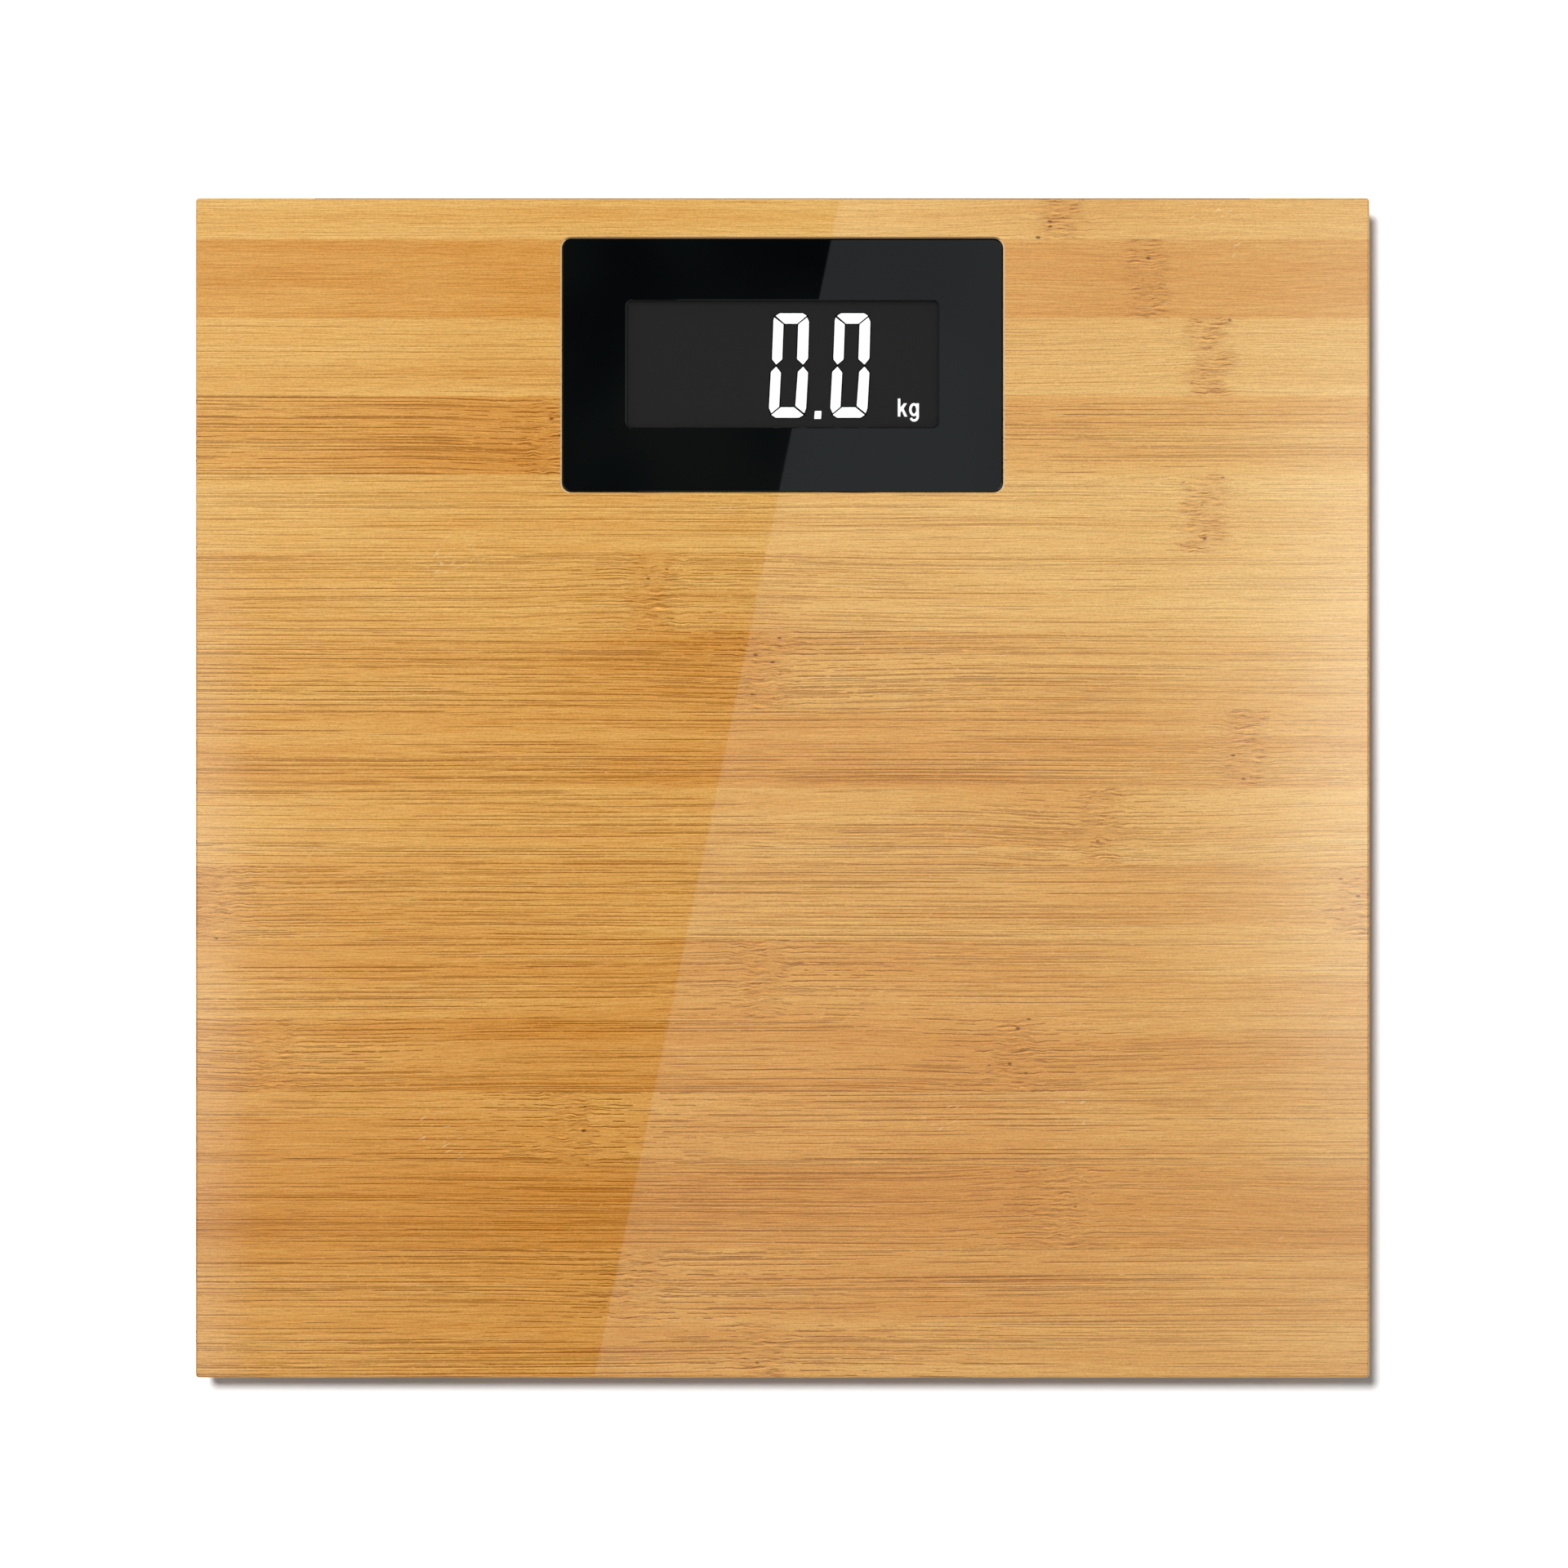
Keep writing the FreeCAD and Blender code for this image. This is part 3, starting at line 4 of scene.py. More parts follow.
import bmesh
import bpy
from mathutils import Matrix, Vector


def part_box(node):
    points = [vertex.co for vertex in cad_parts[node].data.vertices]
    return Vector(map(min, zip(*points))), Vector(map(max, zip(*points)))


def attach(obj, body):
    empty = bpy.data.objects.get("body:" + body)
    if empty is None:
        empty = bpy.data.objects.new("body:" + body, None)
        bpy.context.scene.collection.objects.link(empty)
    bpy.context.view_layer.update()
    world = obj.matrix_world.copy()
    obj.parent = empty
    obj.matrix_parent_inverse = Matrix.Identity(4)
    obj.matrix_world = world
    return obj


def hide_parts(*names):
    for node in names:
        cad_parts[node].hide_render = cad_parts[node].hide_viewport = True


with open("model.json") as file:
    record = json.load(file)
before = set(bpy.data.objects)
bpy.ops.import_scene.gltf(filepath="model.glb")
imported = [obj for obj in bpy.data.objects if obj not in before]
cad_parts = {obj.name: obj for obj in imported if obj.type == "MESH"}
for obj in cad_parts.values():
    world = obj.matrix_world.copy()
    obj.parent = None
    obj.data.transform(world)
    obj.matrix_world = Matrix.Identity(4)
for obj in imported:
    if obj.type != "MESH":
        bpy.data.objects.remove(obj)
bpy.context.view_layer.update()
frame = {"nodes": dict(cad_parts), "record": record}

MM = 0.001
nodes = frame["nodes"]
board_low, board_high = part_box("platform")
board_size = board_high - board_low
glass_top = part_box("lcd_glass")[1].z

# ------------------------------------------------------------------------------ the bamboo strips
# From the display's edge of the board to the front: width in mm, tone from 0 (toasted) to 1 (pale),
# strength of the dark fibre lines, how toasted it is before its first knuckle, and where its
# knuckles are, in mm from the board's middle.
STRIPS = [
    (10.2, 1.00, 0.25, 0.0, 71, 230),
    (19.8, 0.34, 0.25, 0.1, 93, 230),
    (20.5, 0.98, 0.45, 0.0, 109, 230),
    (19.9, 0.62, 0.95, 0.5, -57, 230),
    (19.5, 1.08, 0.60, 0.0, 108, 230),
    (20.2, 0.90, 0.70, 0.1, -34, 230),
    (20.0, 0.76, 0.90, 0.5, -3, 230),
    (20.0, 0.46, 0.85, 0.0, 118, 230),
    (20.0, 0.74, 0.85, 0.3, 81, 230),
    (19.2, 0.66, 0.85, 0.8, -145, 146),
    (19.4, 0.54, 0.90, 0.2, -5, 230),
    (19.2, 0.26, 0.90, 0.3, -130, 59),
    (19.4, 0.40, 0.95, 0.2, -54, 230),
    (20.3, 0.00, 0.85, 0.2, 71, 230),
    (19.4, 0.38, 1.00, 0.2, -36, 230),
    (14.5, 0.48, 0.90, 0.1, -5, 230),
]
# Knuckle places run over this range in mm. A place of 230 is off the board: that strip has no more.
STRIP_PLACE_RANGE = 500.0
# How far the painted highlight on a groove's or fibre's lip lies from its dark side, in metres.
LIP_REACH = 0.00022
# Side faces closer than CUT_REACH both to the line x = 0 and to the line y = CUT_LINE are coloured as
# the display's cut-out, all in metres: pale down to CUT_DEPTH, fresh-cut wood brightened as a painted
# highlight, and dark from CUT_REAR on, as painted shade. Besides the cut-out this takes in the middle of
# the board's rear side, which it shouldn't.
CUT_LINE, CUT_REACH = 0.195, 0.1195
CUT_DEPTH = 0.0007
CUT_REAR = (0.1398, 0.1402)

# The open fibre lines, by kind: the width of their lanes in metres, how often they come and go along a
# metre, where they begin and are fully there, half their own width, how strong they are in clear wood
# and near a knuckle, and how much more of them there are near one.
LINE_KINDS = [
    (0.00105, 12.0, 0.535, 0.655, 0.00021, 0.85, 0.50, -0.05),
    (0.00165, 18.0, 0.535, 0.635, 0.00025, 1.00, 0.65, -0.06),
    (0.00260, 30.0, 0.535, 0.615, 0.00029, 1.00, 0.80, -0.03),
    (0.00095, 70.0, 0.595, 0.695, 0.00021, 0.60, 0.90, 0.04),
    (0.00140, 150.0, 0.570, 0.640, 0.00026, 0.35, 1.00, 0.12),
]


# ------------------------------------------------------------------------------------ node helper

class Shader:
    """Builds one material's node tree. Sockets are passed about as plain values."""

    def __init__(self, name):
        self.material = bpy.data.materials.new(name)
        self.material.use_nodes = True
        self.tree = self.material.node_tree
        self.surface = self.tree.nodes["Principled BSDF"]

    def put(self, socket, value):
        if isinstance(value, bpy.types.NodeSocket):
            self.tree.links.new(value, socket)
        else:
            socket.default_value = value

    def node(self, kind, values=(), **settings):
        made = self.tree.nodes.new(kind)
        for name, value in settings.items():
            setattr(made, name, value)
        for place, value in enumerate(values):
            if value is not None:
                self.put(made.inputs[place], value)
        return made

    def math(self, operation, *values):
        return self.node("ShaderNodeMath", values, operation=operation).outputs[0]

    def vector(self, x, y, z):
        return self.node("ShaderNodeCombineXYZ", (x, y, z)).outputs[0]

    def split(self, vector):
        return self.node("ShaderNodeSeparateXYZ", (vector,)).outputs

    def place(self):
        """The place on the object, in metres, in the model's own frame."""
        return self.node("ShaderNodeTexCoord").outputs["Object"]

    def smooth(self, value, low, high):
        """0 at low, 1 at high, eased between."""
        made = self.node("ShaderNodeMapRange", (value, low, high, 0.0, 1.0), interpolation_type="SMOOTHSTEP")
        return made.outputs[0]

    def noise(self, vector, scale=1.0, detail=2.0, roughness=0.5):
        made = self.node("ShaderNodeTexNoise")
        self.put(made.inputs["Vector"], vector)
        self.put(made.inputs["Scale"], scale)
        self.put(made.inputs["Detail"], detail)
        self.put(made.inputs["Roughness"], roughness)
        return made.outputs[0]

    def dice(self, number):
        """A random number from 0 to 1, the same each time for the same number."""
        made = self.node("ShaderNodeTexWhiteNoise", noise_dimensions="1D")
        self.put(made.inputs["W"], number)
        return made.outputs["Value"]

    def mix(self, factor, first, second, blend="MIX"):
        made = self.node("ShaderNodeMix", data_type="RGBA", blend_type=blend)
        self.put(made.inputs[0], factor)
        self.put(made.inputs[6], first)
        self.put(made.inputs[7], second)
        return made.outputs[2]

    def choose(self, factor, first, second):
        """One number or the other."""
        made = self.node("ShaderNodeMix", data_type="FLOAT")
        self.put(made.inputs[0], factor)
        self.put(made.inputs[2], first)
        self.put(made.inputs[3], second)
        return made.outputs[0]

    def steps(self, factor, stops):
        """A ramp of flat steps: stops are (place, three numbers)."""
        made = self.node("ShaderNodeValToRGB", (factor,))
        ramp = made.color_ramp
        ramp.interpolation = "CONSTANT"
        ramp.elements[0].position = stops[0][0]
        ramp.elements[0].color = (*stops[0][1], 1.0)
        ramp.elements.remove(ramp.elements[1])
        for position, numbers in stops[1:]:
            ramp.elements.new(position).color = (*numbers, 1.0)
        return self.node("ShaderNodeSeparateColor", (made.outputs[0],)).outputs

    def bump(self, height, distance, strength=1.0, under=None):
        made = self.node("ShaderNodeBump")
        self.put(made.inputs["Height"], height)
        self.put(made.inputs["Distance"], distance)
        self.put(made.inputs["Strength"], strength)
        if under is not None:
            self.put(made.inputs["Normal"], under)
        return made.outputs[0]

    def finish(self, **values):
        for name, value in values.items():
            self.put(self.surface.inputs[name.replace("_", " ").replace("Base Colour", "Base Color")], value)
        return self.material


def rgb(red, green, blue):
    """A colour given as screen values from 0 to 255."""
    def linear(value):
        value /= 255.0
        return value / 12.92 if value <= 0.04045 else ((value + 0.055) / 1.055) ** 2.4
    return (linear(red), linear(green), linear(blue), 1.0)


# ------------------------------------------------------------------------------------- materials

def bamboo():
    """Strips glued side by side in three plies, the middle one crossways, under clear lacquer."""
    s = Shader("bamboo")
    x, y, z = s.split(s.place())
    facing = s.split(s.node("ShaderNodeNewGeometry").outputs["Normal"])

    # the middle ply is turned by a quarter, so its length is along Y
    ply = board_size.z / 3
    in_core = s.math("MULTIPLY", s.math("GREATER_THAN", z, board_low.z + ply),
                     s.math("LESS_THAN", z, board_high.z - ply))
    in_bottom = s.math("LESS_THAN", z, board_low.z + ply)
    along = s.choose(in_core, x, y)
    across = s.choose(in_core, y, x)

    # which strip, and what that one is like
    look, habit = [], []
    reached = 0.0
    total = sum(strip[0] for strip in STRIPS)
    for rank, (width, tone, lines, toast, first, second) in enumerate(STRIPS):
        place = reached / total
        look.append((place, (tone, lines, toast)))
        habit.append((place, ((first + 250) / STRIP_PLACE_RANGE, (second + 250) / STRIP_PLACE_RANGE,
                              (rank * 0.618) % 1.0)))
        reached += width
    from_rear = s.math("DIVIDE", s.math("SUBTRACT", board_high.y, across), board_size.y)
    from_rear = s.math("FRACT", s.math("ADD", from_rear, s.math("MULTIPLY", in_bottom, 0.37)))
    tone, line_strength, toast = s.steps(from_rear, look)[:3]
    first, second, own = s.steps(from_rear, habit)[:3]
    seed = s.math("ADD", s.math("MULTIPLY", own, 53.0), s.math("MULTIPLY", in_bottom, 17.0))

    # a knuckle is a ragged band across its strip
    ragged = s.noise(s.vector(seed, s.math("MULTIPLY", across, 300.0), 0.0), 1.0, 3.0, 0.7)
    shift = s.math("MULTIPLY", s.math("SUBTRACT", ragged, 0.5), 0.014)
    distances = []
    for knuckle in (first, second):
        centre = s.math("MULTIPLY", s.math("SUBTRACT", knuckle, 0.5), STRIP_PLACE_RANGE * MM)
        distances.append(s.math("SUBTRACT", s.math("ADD", along, shift), centre))
    nearest = s.math("MINIMUM", s.math("ABSOLUTE", distances[0]), s.math("ABSOLUTE", distances[1]))
    knuckle = s.smooth(nearest, 0.0070, 0.0032)
    sided = [s.math("MAXIMUM", s.math("MULTIPLY", distance, -1.0), s.math("MULTIPLY", distance, 0.55))
             for distance in distances]
    around = s.smooth(s.math("MINIMUM", sided[0], sided[1]), 0.040, 0.006)
    before = s.math("MULTIPLY", s.smooth(distances[0], -0.080, -0.015), s.smooth(distances[0], 0.002, -0.006))

    def seeded(per_length, per_width, detail):
        """Noise in the plane of the board that differs from strip to strip."""
        return s.noise(s.vector(s.math("MULTIPLY", along, per_length), s.math("MULTIPLY", across, per_width),
                                seed), 1.0, detail)

    # the fibres run nearly straight, drift towards a knuckle, and are thrown about on it
    wander = seeded(6.0, 20.0, 1.0)
    thrown = seeded(260.0, 420.0, 1.5)
    lift = s.math("MULTIPLY", s.math("SUBTRACT", wander, 0.5), 0.0024)
    drift = s.math("MULTIPLY", around, s.math("MULTIPLY", s.math("SUBTRACT", own, 0.4), 0.0022))
    close = s.smooth(nearest, 0.014, 0.006)
    toss = s.math("MULTIPLY", s.math("MULTIPLY", s.math("SUBTRACT", thrown, 0.5), close), 0.0013)
    splinter = seeded(320.0, 900.0, 1.0)
    splintered = s.math("MULTIPLY", s.math("SUBTRACT", splinter, 0.5), s.choose(around, 0.00005, 0.0003))
    toss = s.math("ADD", toss, splintered)
    fibre = s.math("ADD", s.math("ADD", across, lift), s.math("ADD", drift, toss))
    depth = s.math("ADD", z, s.math("MULTIPLY", seed, 0.013))

    def streaks(per_length, per_width, detail=2.0, roughness=0.5, below=0.0):
        vector = s.vector(s.math("MULTIPLY", along, per_length),
                          s.math("MULTIPLY", s.math("ADD", fibre, below), per_width),
                          s.math("ADD", s.math("MULTIPLY", depth, per_width), seed))
        return s.noise(vector, 1.0, detail, roughness)

    def lined(pitch, per_length, low, high, width, more):
        """Thin open fibre lines that come and go, at most one a lane: the dark line, and a painted highlight
        along its lip.
        """
        lane = s.math("DIVIDE", fibre, pitch)
        luck = s.dice(s.math("ADD", s.math("FLOOR", lane), s.math("MULTIPLY", seed, 31.0)))
        middle = s.choose(luck, 0.3, 0.7)
        aside = s.math("MULTIPLY", s.math("SUBTRACT", s.math("FRACT", lane), middle), pitch)
        run = s.noise(s.vector(s.math("MULTIPLY", along, per_length), s.math("MULTIPLY", luck, 90.0), seed),
                      1.0, 2.0)
        run = s.math("ADD", run, s.math("MULTIPLY", around, more))
        there = s.smooth(s.math("ADD", run, s.math("MULTIPLY", crowd, 0.10)), low, high)
        boldness = s.choose(s.math("FRACT", s.math("MULTIPLY", luck, 17.0)), 0.65, 1.0)
        there = s.math("MULTIPLY", there, boldness)
        there = s.math("MULTIPLY", there, broken)
        reach = s.math("MULTIPLY", s.choose(there, 0.6, 1.0), width)
        dark = s.math("MULTIPLY", s.smooth(s.math("ABSOLUTE", aside), reach, 0.0), there)
        above = s.math("ABSOLUTE", s.math("ADD", aside, LIP_REACH))
        return dark, s.math("MULTIPLY", s.smooth(above, reach, 0.0), there)

    def ridged(below):
        """The wavy surface on a knuckle."""
        vector = s.vector(s.math("MULTIPLY", along, 170.0),
                          s.math("MULTIPLY", s.math("ADD", fibre, below), 1400.0), seed)
        return s.noise(vector, 1.0, 2.5, 0.6)

    cloud = streaks(10.0, 45.0, 2.0)
    band = streaks(5.0, 260.0, 2.0)
    crowd = s.smooth(streaks(6.0, 150.0, 1.0), 0.38, 0.58)
    faded = s.choose(s.smooth(along, 0.050, 0.120), 1.0, 0.58)
    fuzz = streaks(120.0, 2300.0, 2.5, 0.7)
    grit = s.noise(s.vector(along, s.math("MULTIPLY", across, 1.3), z), 2300.0, 1.5, 0.7)
    ridges = ridged(0.0)
    # a knuckle is rough in patches only
    patch = s.choose(s.smooth(seeded(240.0, 300.0, 2.0), 0.38, 0.60), 0.30, 1.0)
    rough_part = s.math("MULTIPLY", knuckle, patch)
    torn = s.vector(s.math("MULTIPLY", along, 700.0), s.math("MULTIPLY", fibre, 2500.0), seed)
    broken = s.smooth(s.noise(torn, 1.0, 1.0), 0.10, 0.48)

    # open fibre lines: long ones everywhere, short ones round the knuckles, end grain on the sides
    steep = s.smooth(s.math("ABSOLUTE", facing[2]), 0.95, 0.80)
    drawn = s.math("MULTIPLY", s.smooth(streaks(36.0, 1500.0, 1.6), 0.44, 0.33), steep)
    painted_lip_light = 0.0
    for pitch, per_length, low, high, width, clear, near, more in LINE_KINDS:
        dark, lit = lined(pitch, per_length, low, high, width, more)
        share = s.math("MULTIPLY", s.choose(around, clear, near), s.math("SUBTRACT", 1.0, steep))
        drawn = s.math("MAXIMUM", drawn, s.math("MULTIPLY", dark, share))
        painted_lip_light = s.math("MAXIMUM", painted_lip_light, s.math("MULTIPLY", lit, share))
    share = s.math("MULTIPLY", faded, s.choose(knuckle, line_strength, 0.25))
    drawn = s.math("MULTIPLY", drawn, share)
    painted_lip_light = s.math("SUBTRACT", s.math("MULTIPLY", painted_lip_light, share), drawn)

    # colour: toasted to pale by strip, clouded and banded, with the fibre lines in brown
    level = s.math("ADD", tone, s.math("MULTIPLY", s.math("SUBTRACT", cloud, 0.5), 1.1))
    level = s.math("ADD", level, s.math("MULTIPLY", s.math("SUBTRACT", band, 0.5), 1.0))
    level = s.math("SUBTRACT", level, s.math("MULTIPLY", s.math("MULTIPLY", before, toast), 0.75))
    level = s.math("ADD", level, s.math("MULTIPLY", s.math("SUBTRACT", fuzz, 0.5), 1.5))
    # painted light: paler towards the right side, making up for the lamp's fall-off there
    level = s.math("ADD", level, s.math("MULTIPLY", s.smooth(x, 0.03, 0.12), 0.20))
    made = s.node("ShaderNodeValToRGB", (s.math("ADD", s.math("MULTIPLY", level, 0.4), 0.3),))
    ramp = made.color_ramp
    ramp.elements[0].position = 0.0
    ramp.elements[0].color = rgb(184, 112, 34)
    ramp.elements[1].position = 1.0
    ramp.elements[1].color = rgb(240, 196, 121)
    for position, colour in ((0.3, rgb(212, 145, 66)), (0.5, rgb(221, 160, 82)), (0.7, rgb(229, 176, 98))):
        ramp.elements.new(position).color = colour
    colour = made.outputs[0]
    colour = s.mix(s.math("MULTIPLY", knuckle, s.choose(patch, 0.18, 0.50)), colour, rgb(208, 144, 68))
    # the knuckle's troughs darker brown: partly its own darker wood, partly painted shade in the creases
    wear_and_trough_shade = s.math("MULTIPLY", rough_part, s.smooth(ridges, 0.50, 0.30))
    colour = s.mix(s.math("MULTIPLY", wear_and_trough_shade, 0.50), colour, rgb(184, 110, 22))
    cells = s.node("ShaderNodeTexVoronoi")
    s.put(cells.inputs["Vector"], s.vector(s.math("MULTIPLY", along, 0.55), s.math("ADD", across, toss), own))
    s.put(cells.inputs["Scale"], 330.0)
    chance = s.node("ShaderNodeSeparateColor", (cells.outputs["Color"],)).outputs[0]
    pits = s.smooth(cells.outputs["Distance"], 0.15, 0.07)
    pits = s.math("MULTIPLY", pits, s.math("GREATER_THAN", chance, 0.25))
    pits = s.math("MULTIPLY", pits, s.smooth(nearest, 0.0060, 0.0050))
    colour = s.mix(s.math("MULTIPLY", pits, 0.80), colour, rgb(92, 42, 4))
    colour = s.mix(s.math("MULTIPLY", drawn, 0.90), colour, rgb(150, 82, 0))
    # painted highlight and shade: each groove's lip, each knuckle ridge and the fine fibre fuzz get a lit
    # side and a dark side, as light from the far side would give them; the grit is the wood's own speckle
    painted_ridge_light = s.math("MULTIPLY", rough_part, s.math("SUBTRACT", ridges, ridged(0.00024)))
    painted_fuzz_light = s.math("SUBTRACT", fuzz, streaks(120.0, 2300.0, 2.5, 0.7, LIP_REACH))
    grey = s.math("ADD", 0.745, s.math("MULTIPLY", grit, 0.60))
    grey = s.math("ADD", grey, s.math("MULTIPLY", painted_lip_light, 0.32))
    grey = s.math("ADD", grey, s.math("MULTIPLY", painted_ridge_light, 2.5))
    grey = s.math("ADD", grey, s.math("MULTIPLY", painted_fuzz_light, 0.55))
    colour = s.mix(s.math("MULTIPLY", s.math("SUBTRACT", 1.0, grey), 1.6), colour, rgb(136, 70, 0))
    grey = s.math("MAXIMUM", grey, 1.0)
    colour = s.mix(1.0, colour, s.vector(grey, grey, grey), "MULTIPLY")

    # a few pale flecks where the lacquer is scuffed
    scuffed = s.noise(s.vector(x, y, 0.0), 30.0, 0.0)
    slant = s.node("ShaderNodeVectorRotate", (s.vector(x, y, 0.0),), rotation_type="Z_AXIS")
    slant.inputs["Angle"].default_value = math.radians(-28)
    sx, sy, _ = s.split(slant.outputs[0])
    scratch = s.vector(s.math("MULTIPLY", sx, 450.0), s.math("MULTIPLY", sy, 1800.0), 0.0)
    fleck = s.smooth(s.noise(scratch, 1.0, 0.0), 0.70, 0.75)
    fleck = s.math("MULTIPLY", fleck, s.smooth(scuffed, 0.74, 0.80))
    colour = s.mix(s.math("MULTIPLY", fleck, 0.38), colour, rgb(255, 232, 180))

    # the glue between plies, and round the display's cut-out a pale edge, fresh-cut wood brightened as a
    # painted highlight, with painted shade along its rear side
    inside = s.math("MAXIMUM", s.math("ABSOLUTE", x), s.math("SUBTRACT", CUT_LINE, y))
    inside = s.math("LESS_THAN", inside, CUT_REACH)
    near_top = s.math("GREATER_THAN", z, board_high.z - CUT_DEPTH)
    cut_edge = s.math("MULTIPLY", s.math("MULTIPLY", steep, inside), near_top)
    colour = s.mix(s.math("MULTIPLY", cut_edge, 0.8), colour, rgb(250, 216, 166))
    shaded_side = s.math("MULTIPLY", cut_edge, s.smooth(y, *CUT_REAR))
    colour = s.mix(s.math("MULTIPLY", shaded_side, 0.75), colour, rgb(96, 58, 28))
    for level_z in (board_low.z + ply, board_high.z - ply):
        joint = s.smooth(s.math("ABSOLUTE", s.math("SUBTRACT", z, level_z)), 0.00016, 0.00004)
        colour = s.mix(s.math("MULTIPLY", joint, 0.6), colour, rgb(120, 72, 30))

    height = s.math("SUBTRACT", s.math("MULTIPLY", fuzz, 0.8), drawn)
    relief = s.bump(height, 0.00015)
    relief = s.bump(s.math("MULTIPLY", rough_part, ridges), 0.0005, 1.0, relief)
    return s.finish(Base_Colour=colour, Roughness=0.62, Normal=relief, Coat_Weight=1.0, Coat_Roughness=0.010,
                    Coat_IOR=1.5, Specular_IOR_Level=0.0)


def glossy_black():
    """Black acrylic, polished, with the faint dust and smears such a window gathers."""
    s = Shader("bezel_black")
    place = s.place()
    smear = s.noise(place, 45.0, 4.0, 0.6)
    dust = s.smooth(s.noise(place, 2600.0, 2.0, 0.6), 0.70, 0.80)
    haze = s.smooth(s.noise(place, 14.0, 2.0), 0.40, 0.66)
    colour = s.mix(haze, rgb(5, 7, 9), rgb(16, 19, 18))
    colour = s.mix(s.math("MULTIPLY", dust, 0.25), colour, rgb(70, 72, 74))
    rough = s.math("ADD", 0.008, s.math("MULTIPLY", s.math("MULTIPLY", smear, smear), 0.012))
    s.put(s.surface.inputs["Specular Tint"], (1.0, 0.90, 1.0, 1.0))
    return s.finish(Base_Colour=colour, Roughness=rough, IOR=1.32)


def display_glass():
    """A dark negative panel behind a matt front film, in shade along the top and left of its window."""
    s = Shader("lcd")
    x, y, z = s.split(s.place())
    film = s.noise(s.place(), 5200.0, 2.0, 0.7)
    window_left, window_top = -39.9 * MM, 124.6 * MM
    shade_width = 0.0012
    from_left = s.math("MULTIPLY", s.math("SUBTRACT", x, window_left), 2.0)
    inward = s.math("MINIMUM", s.math("SUBTRACT", window_top, y), from_left)
    shade = s.smooth(inward, shade_width, 0.0)
    colour = s.mix(film, rgb(21, 21, 21), rgb(26, 26, 26))
    colour = s.mix(s.math("MULTIPLY", shade, 0.8), colour, rgb(2, 2, 2))
    return s.finish(Base_Colour=colour, Roughness=0.62, Normal=s.bump(film, 0.00002), IOR=1.35)


def lit_figure():
    """The white bars of the figures, lit a little from behind."""
    s = Shader("lit_figure")
    place = s.place()
    spread = s.noise(place, 700.0, 2.0)
    colour = s.mix(spread, (0.93, 0.95, 0.97, 1.0), (1.0, 1.0, 1.0, 1.0))
    s.put(s.surface.inputs["Emission Color"], colour)
    return s.finish(Base_Colour=colour, Roughness=0.7, Emission_Strength=0.22)


def figure_gap():
    """The blacker mask right round the lit bars."""
    s = Shader("figure_gap")
    film = s.noise(s.place(), 4000.0, 2.0)
    colour = s.mix(film, rgb(4, 4, 4), rgb(9, 9, 9))
    return s.finish(Base_Colour=colour, Roughness=0.6, IOR=1.2)


# How wide the paler rubbed band along a plastic edge is, in metres.
EDGE_WEAR_REACH = 0.0005


def moulded(name, dark, light, roughness=0.5, grain=1700.0, relief=0.00005, wear_and_trough_shade=0.25):
    """Moulded plastic: a fine eroded texture, faint flow marks, and edges rubbed a little paler."""
    s = Shader(name)
    place = s.place()
    texture = s.noise(place, grain, 3.0, 0.65)
    flow = s.noise(place, 24.0, 3.0, 0.55)
    rounded = s.node("ShaderNodeBevel", (EDGE_WEAR_REACH,), samples=4)
    plain = s.node("ShaderNodeNewGeometry").outputs["Normal"]
    turned = s.node("ShaderNodeVectorMath", (rounded.outputs[0], plain), operation="DOT_PRODUCT")
    turned = turned.outputs["Value"]
    edge = s.math("MULTIPLY", s.smooth(turned, 0.99, 0.80), s.smooth(flow, 0.35, 0.65))
    shade = s.math("ADD", s.math("MULTIPLY", flow, 0.5), s.math("MULTIPLY", texture, 0.4))
    colour = s.mix(shade, dark, light)
    colour = s.mix(s.math("MULTIPLY", edge, wear_and_trough_shade), colour, rgb(150, 150, 148))
    rough = s.math("ADD", roughness - 0.08, s.math("MULTIPLY", flow, 0.16))
    return s.finish(Base_Colour=colour, Roughness=rough, Normal=s.bump(texture, relief))


def rubber(name, dark, light):
    """Matt rubber with a dusty bloom."""
    s = Shader(name)
    place = s.place()
    bloom = s.noise(place, 130.0, 5.0, 0.65)
    grit = s.noise(place, 2400.0, 2.0, 0.7)
    colour = s.mix(s.smooth(bloom, 0.35, 0.75), dark, light)
    rough = s.math("ADD", 0.72, s.math("MULTIPLY", grit, 0.2))
    return s.finish(Base_Colour=colour, Roughness=rough, Normal=s.bump(grit, 0.00006), Specular_IOR_Level=0.3)


def metal(name, dark, light, roughness=0.3, brushed=0.0):
    """Plated steel with rolling marks along X and a slightly uneven plating."""
    s = Shader(name)
    x, y, z = s.split(s.place())
    marks = s.noise(s.vector(s.math("MULTIPLY", x, 60.0), s.math("MULTIPLY", y, 1900.0),
                             s.math("MULTIPLY", z, 1900.0)), 1.0, 3.0, 0.6)
    patches = s.noise(s.place(), 260.0, 3.0, 0.6)
    shade = s.math("ADD", s.math("MULTIPLY", marks, 0.5), s.math("MULTIPLY", patches, 0.5))
    colour = s.mix(shade, dark, light)
    rough = s.math("ADD", roughness, s.math("MULTIPLY", patches, 0.18))
    relief = s.bump(marks, 0.00001 + brushed)
    return s.finish(Base_Colour=colour, Metallic=1.0, Roughness=rough, Normal=relief)


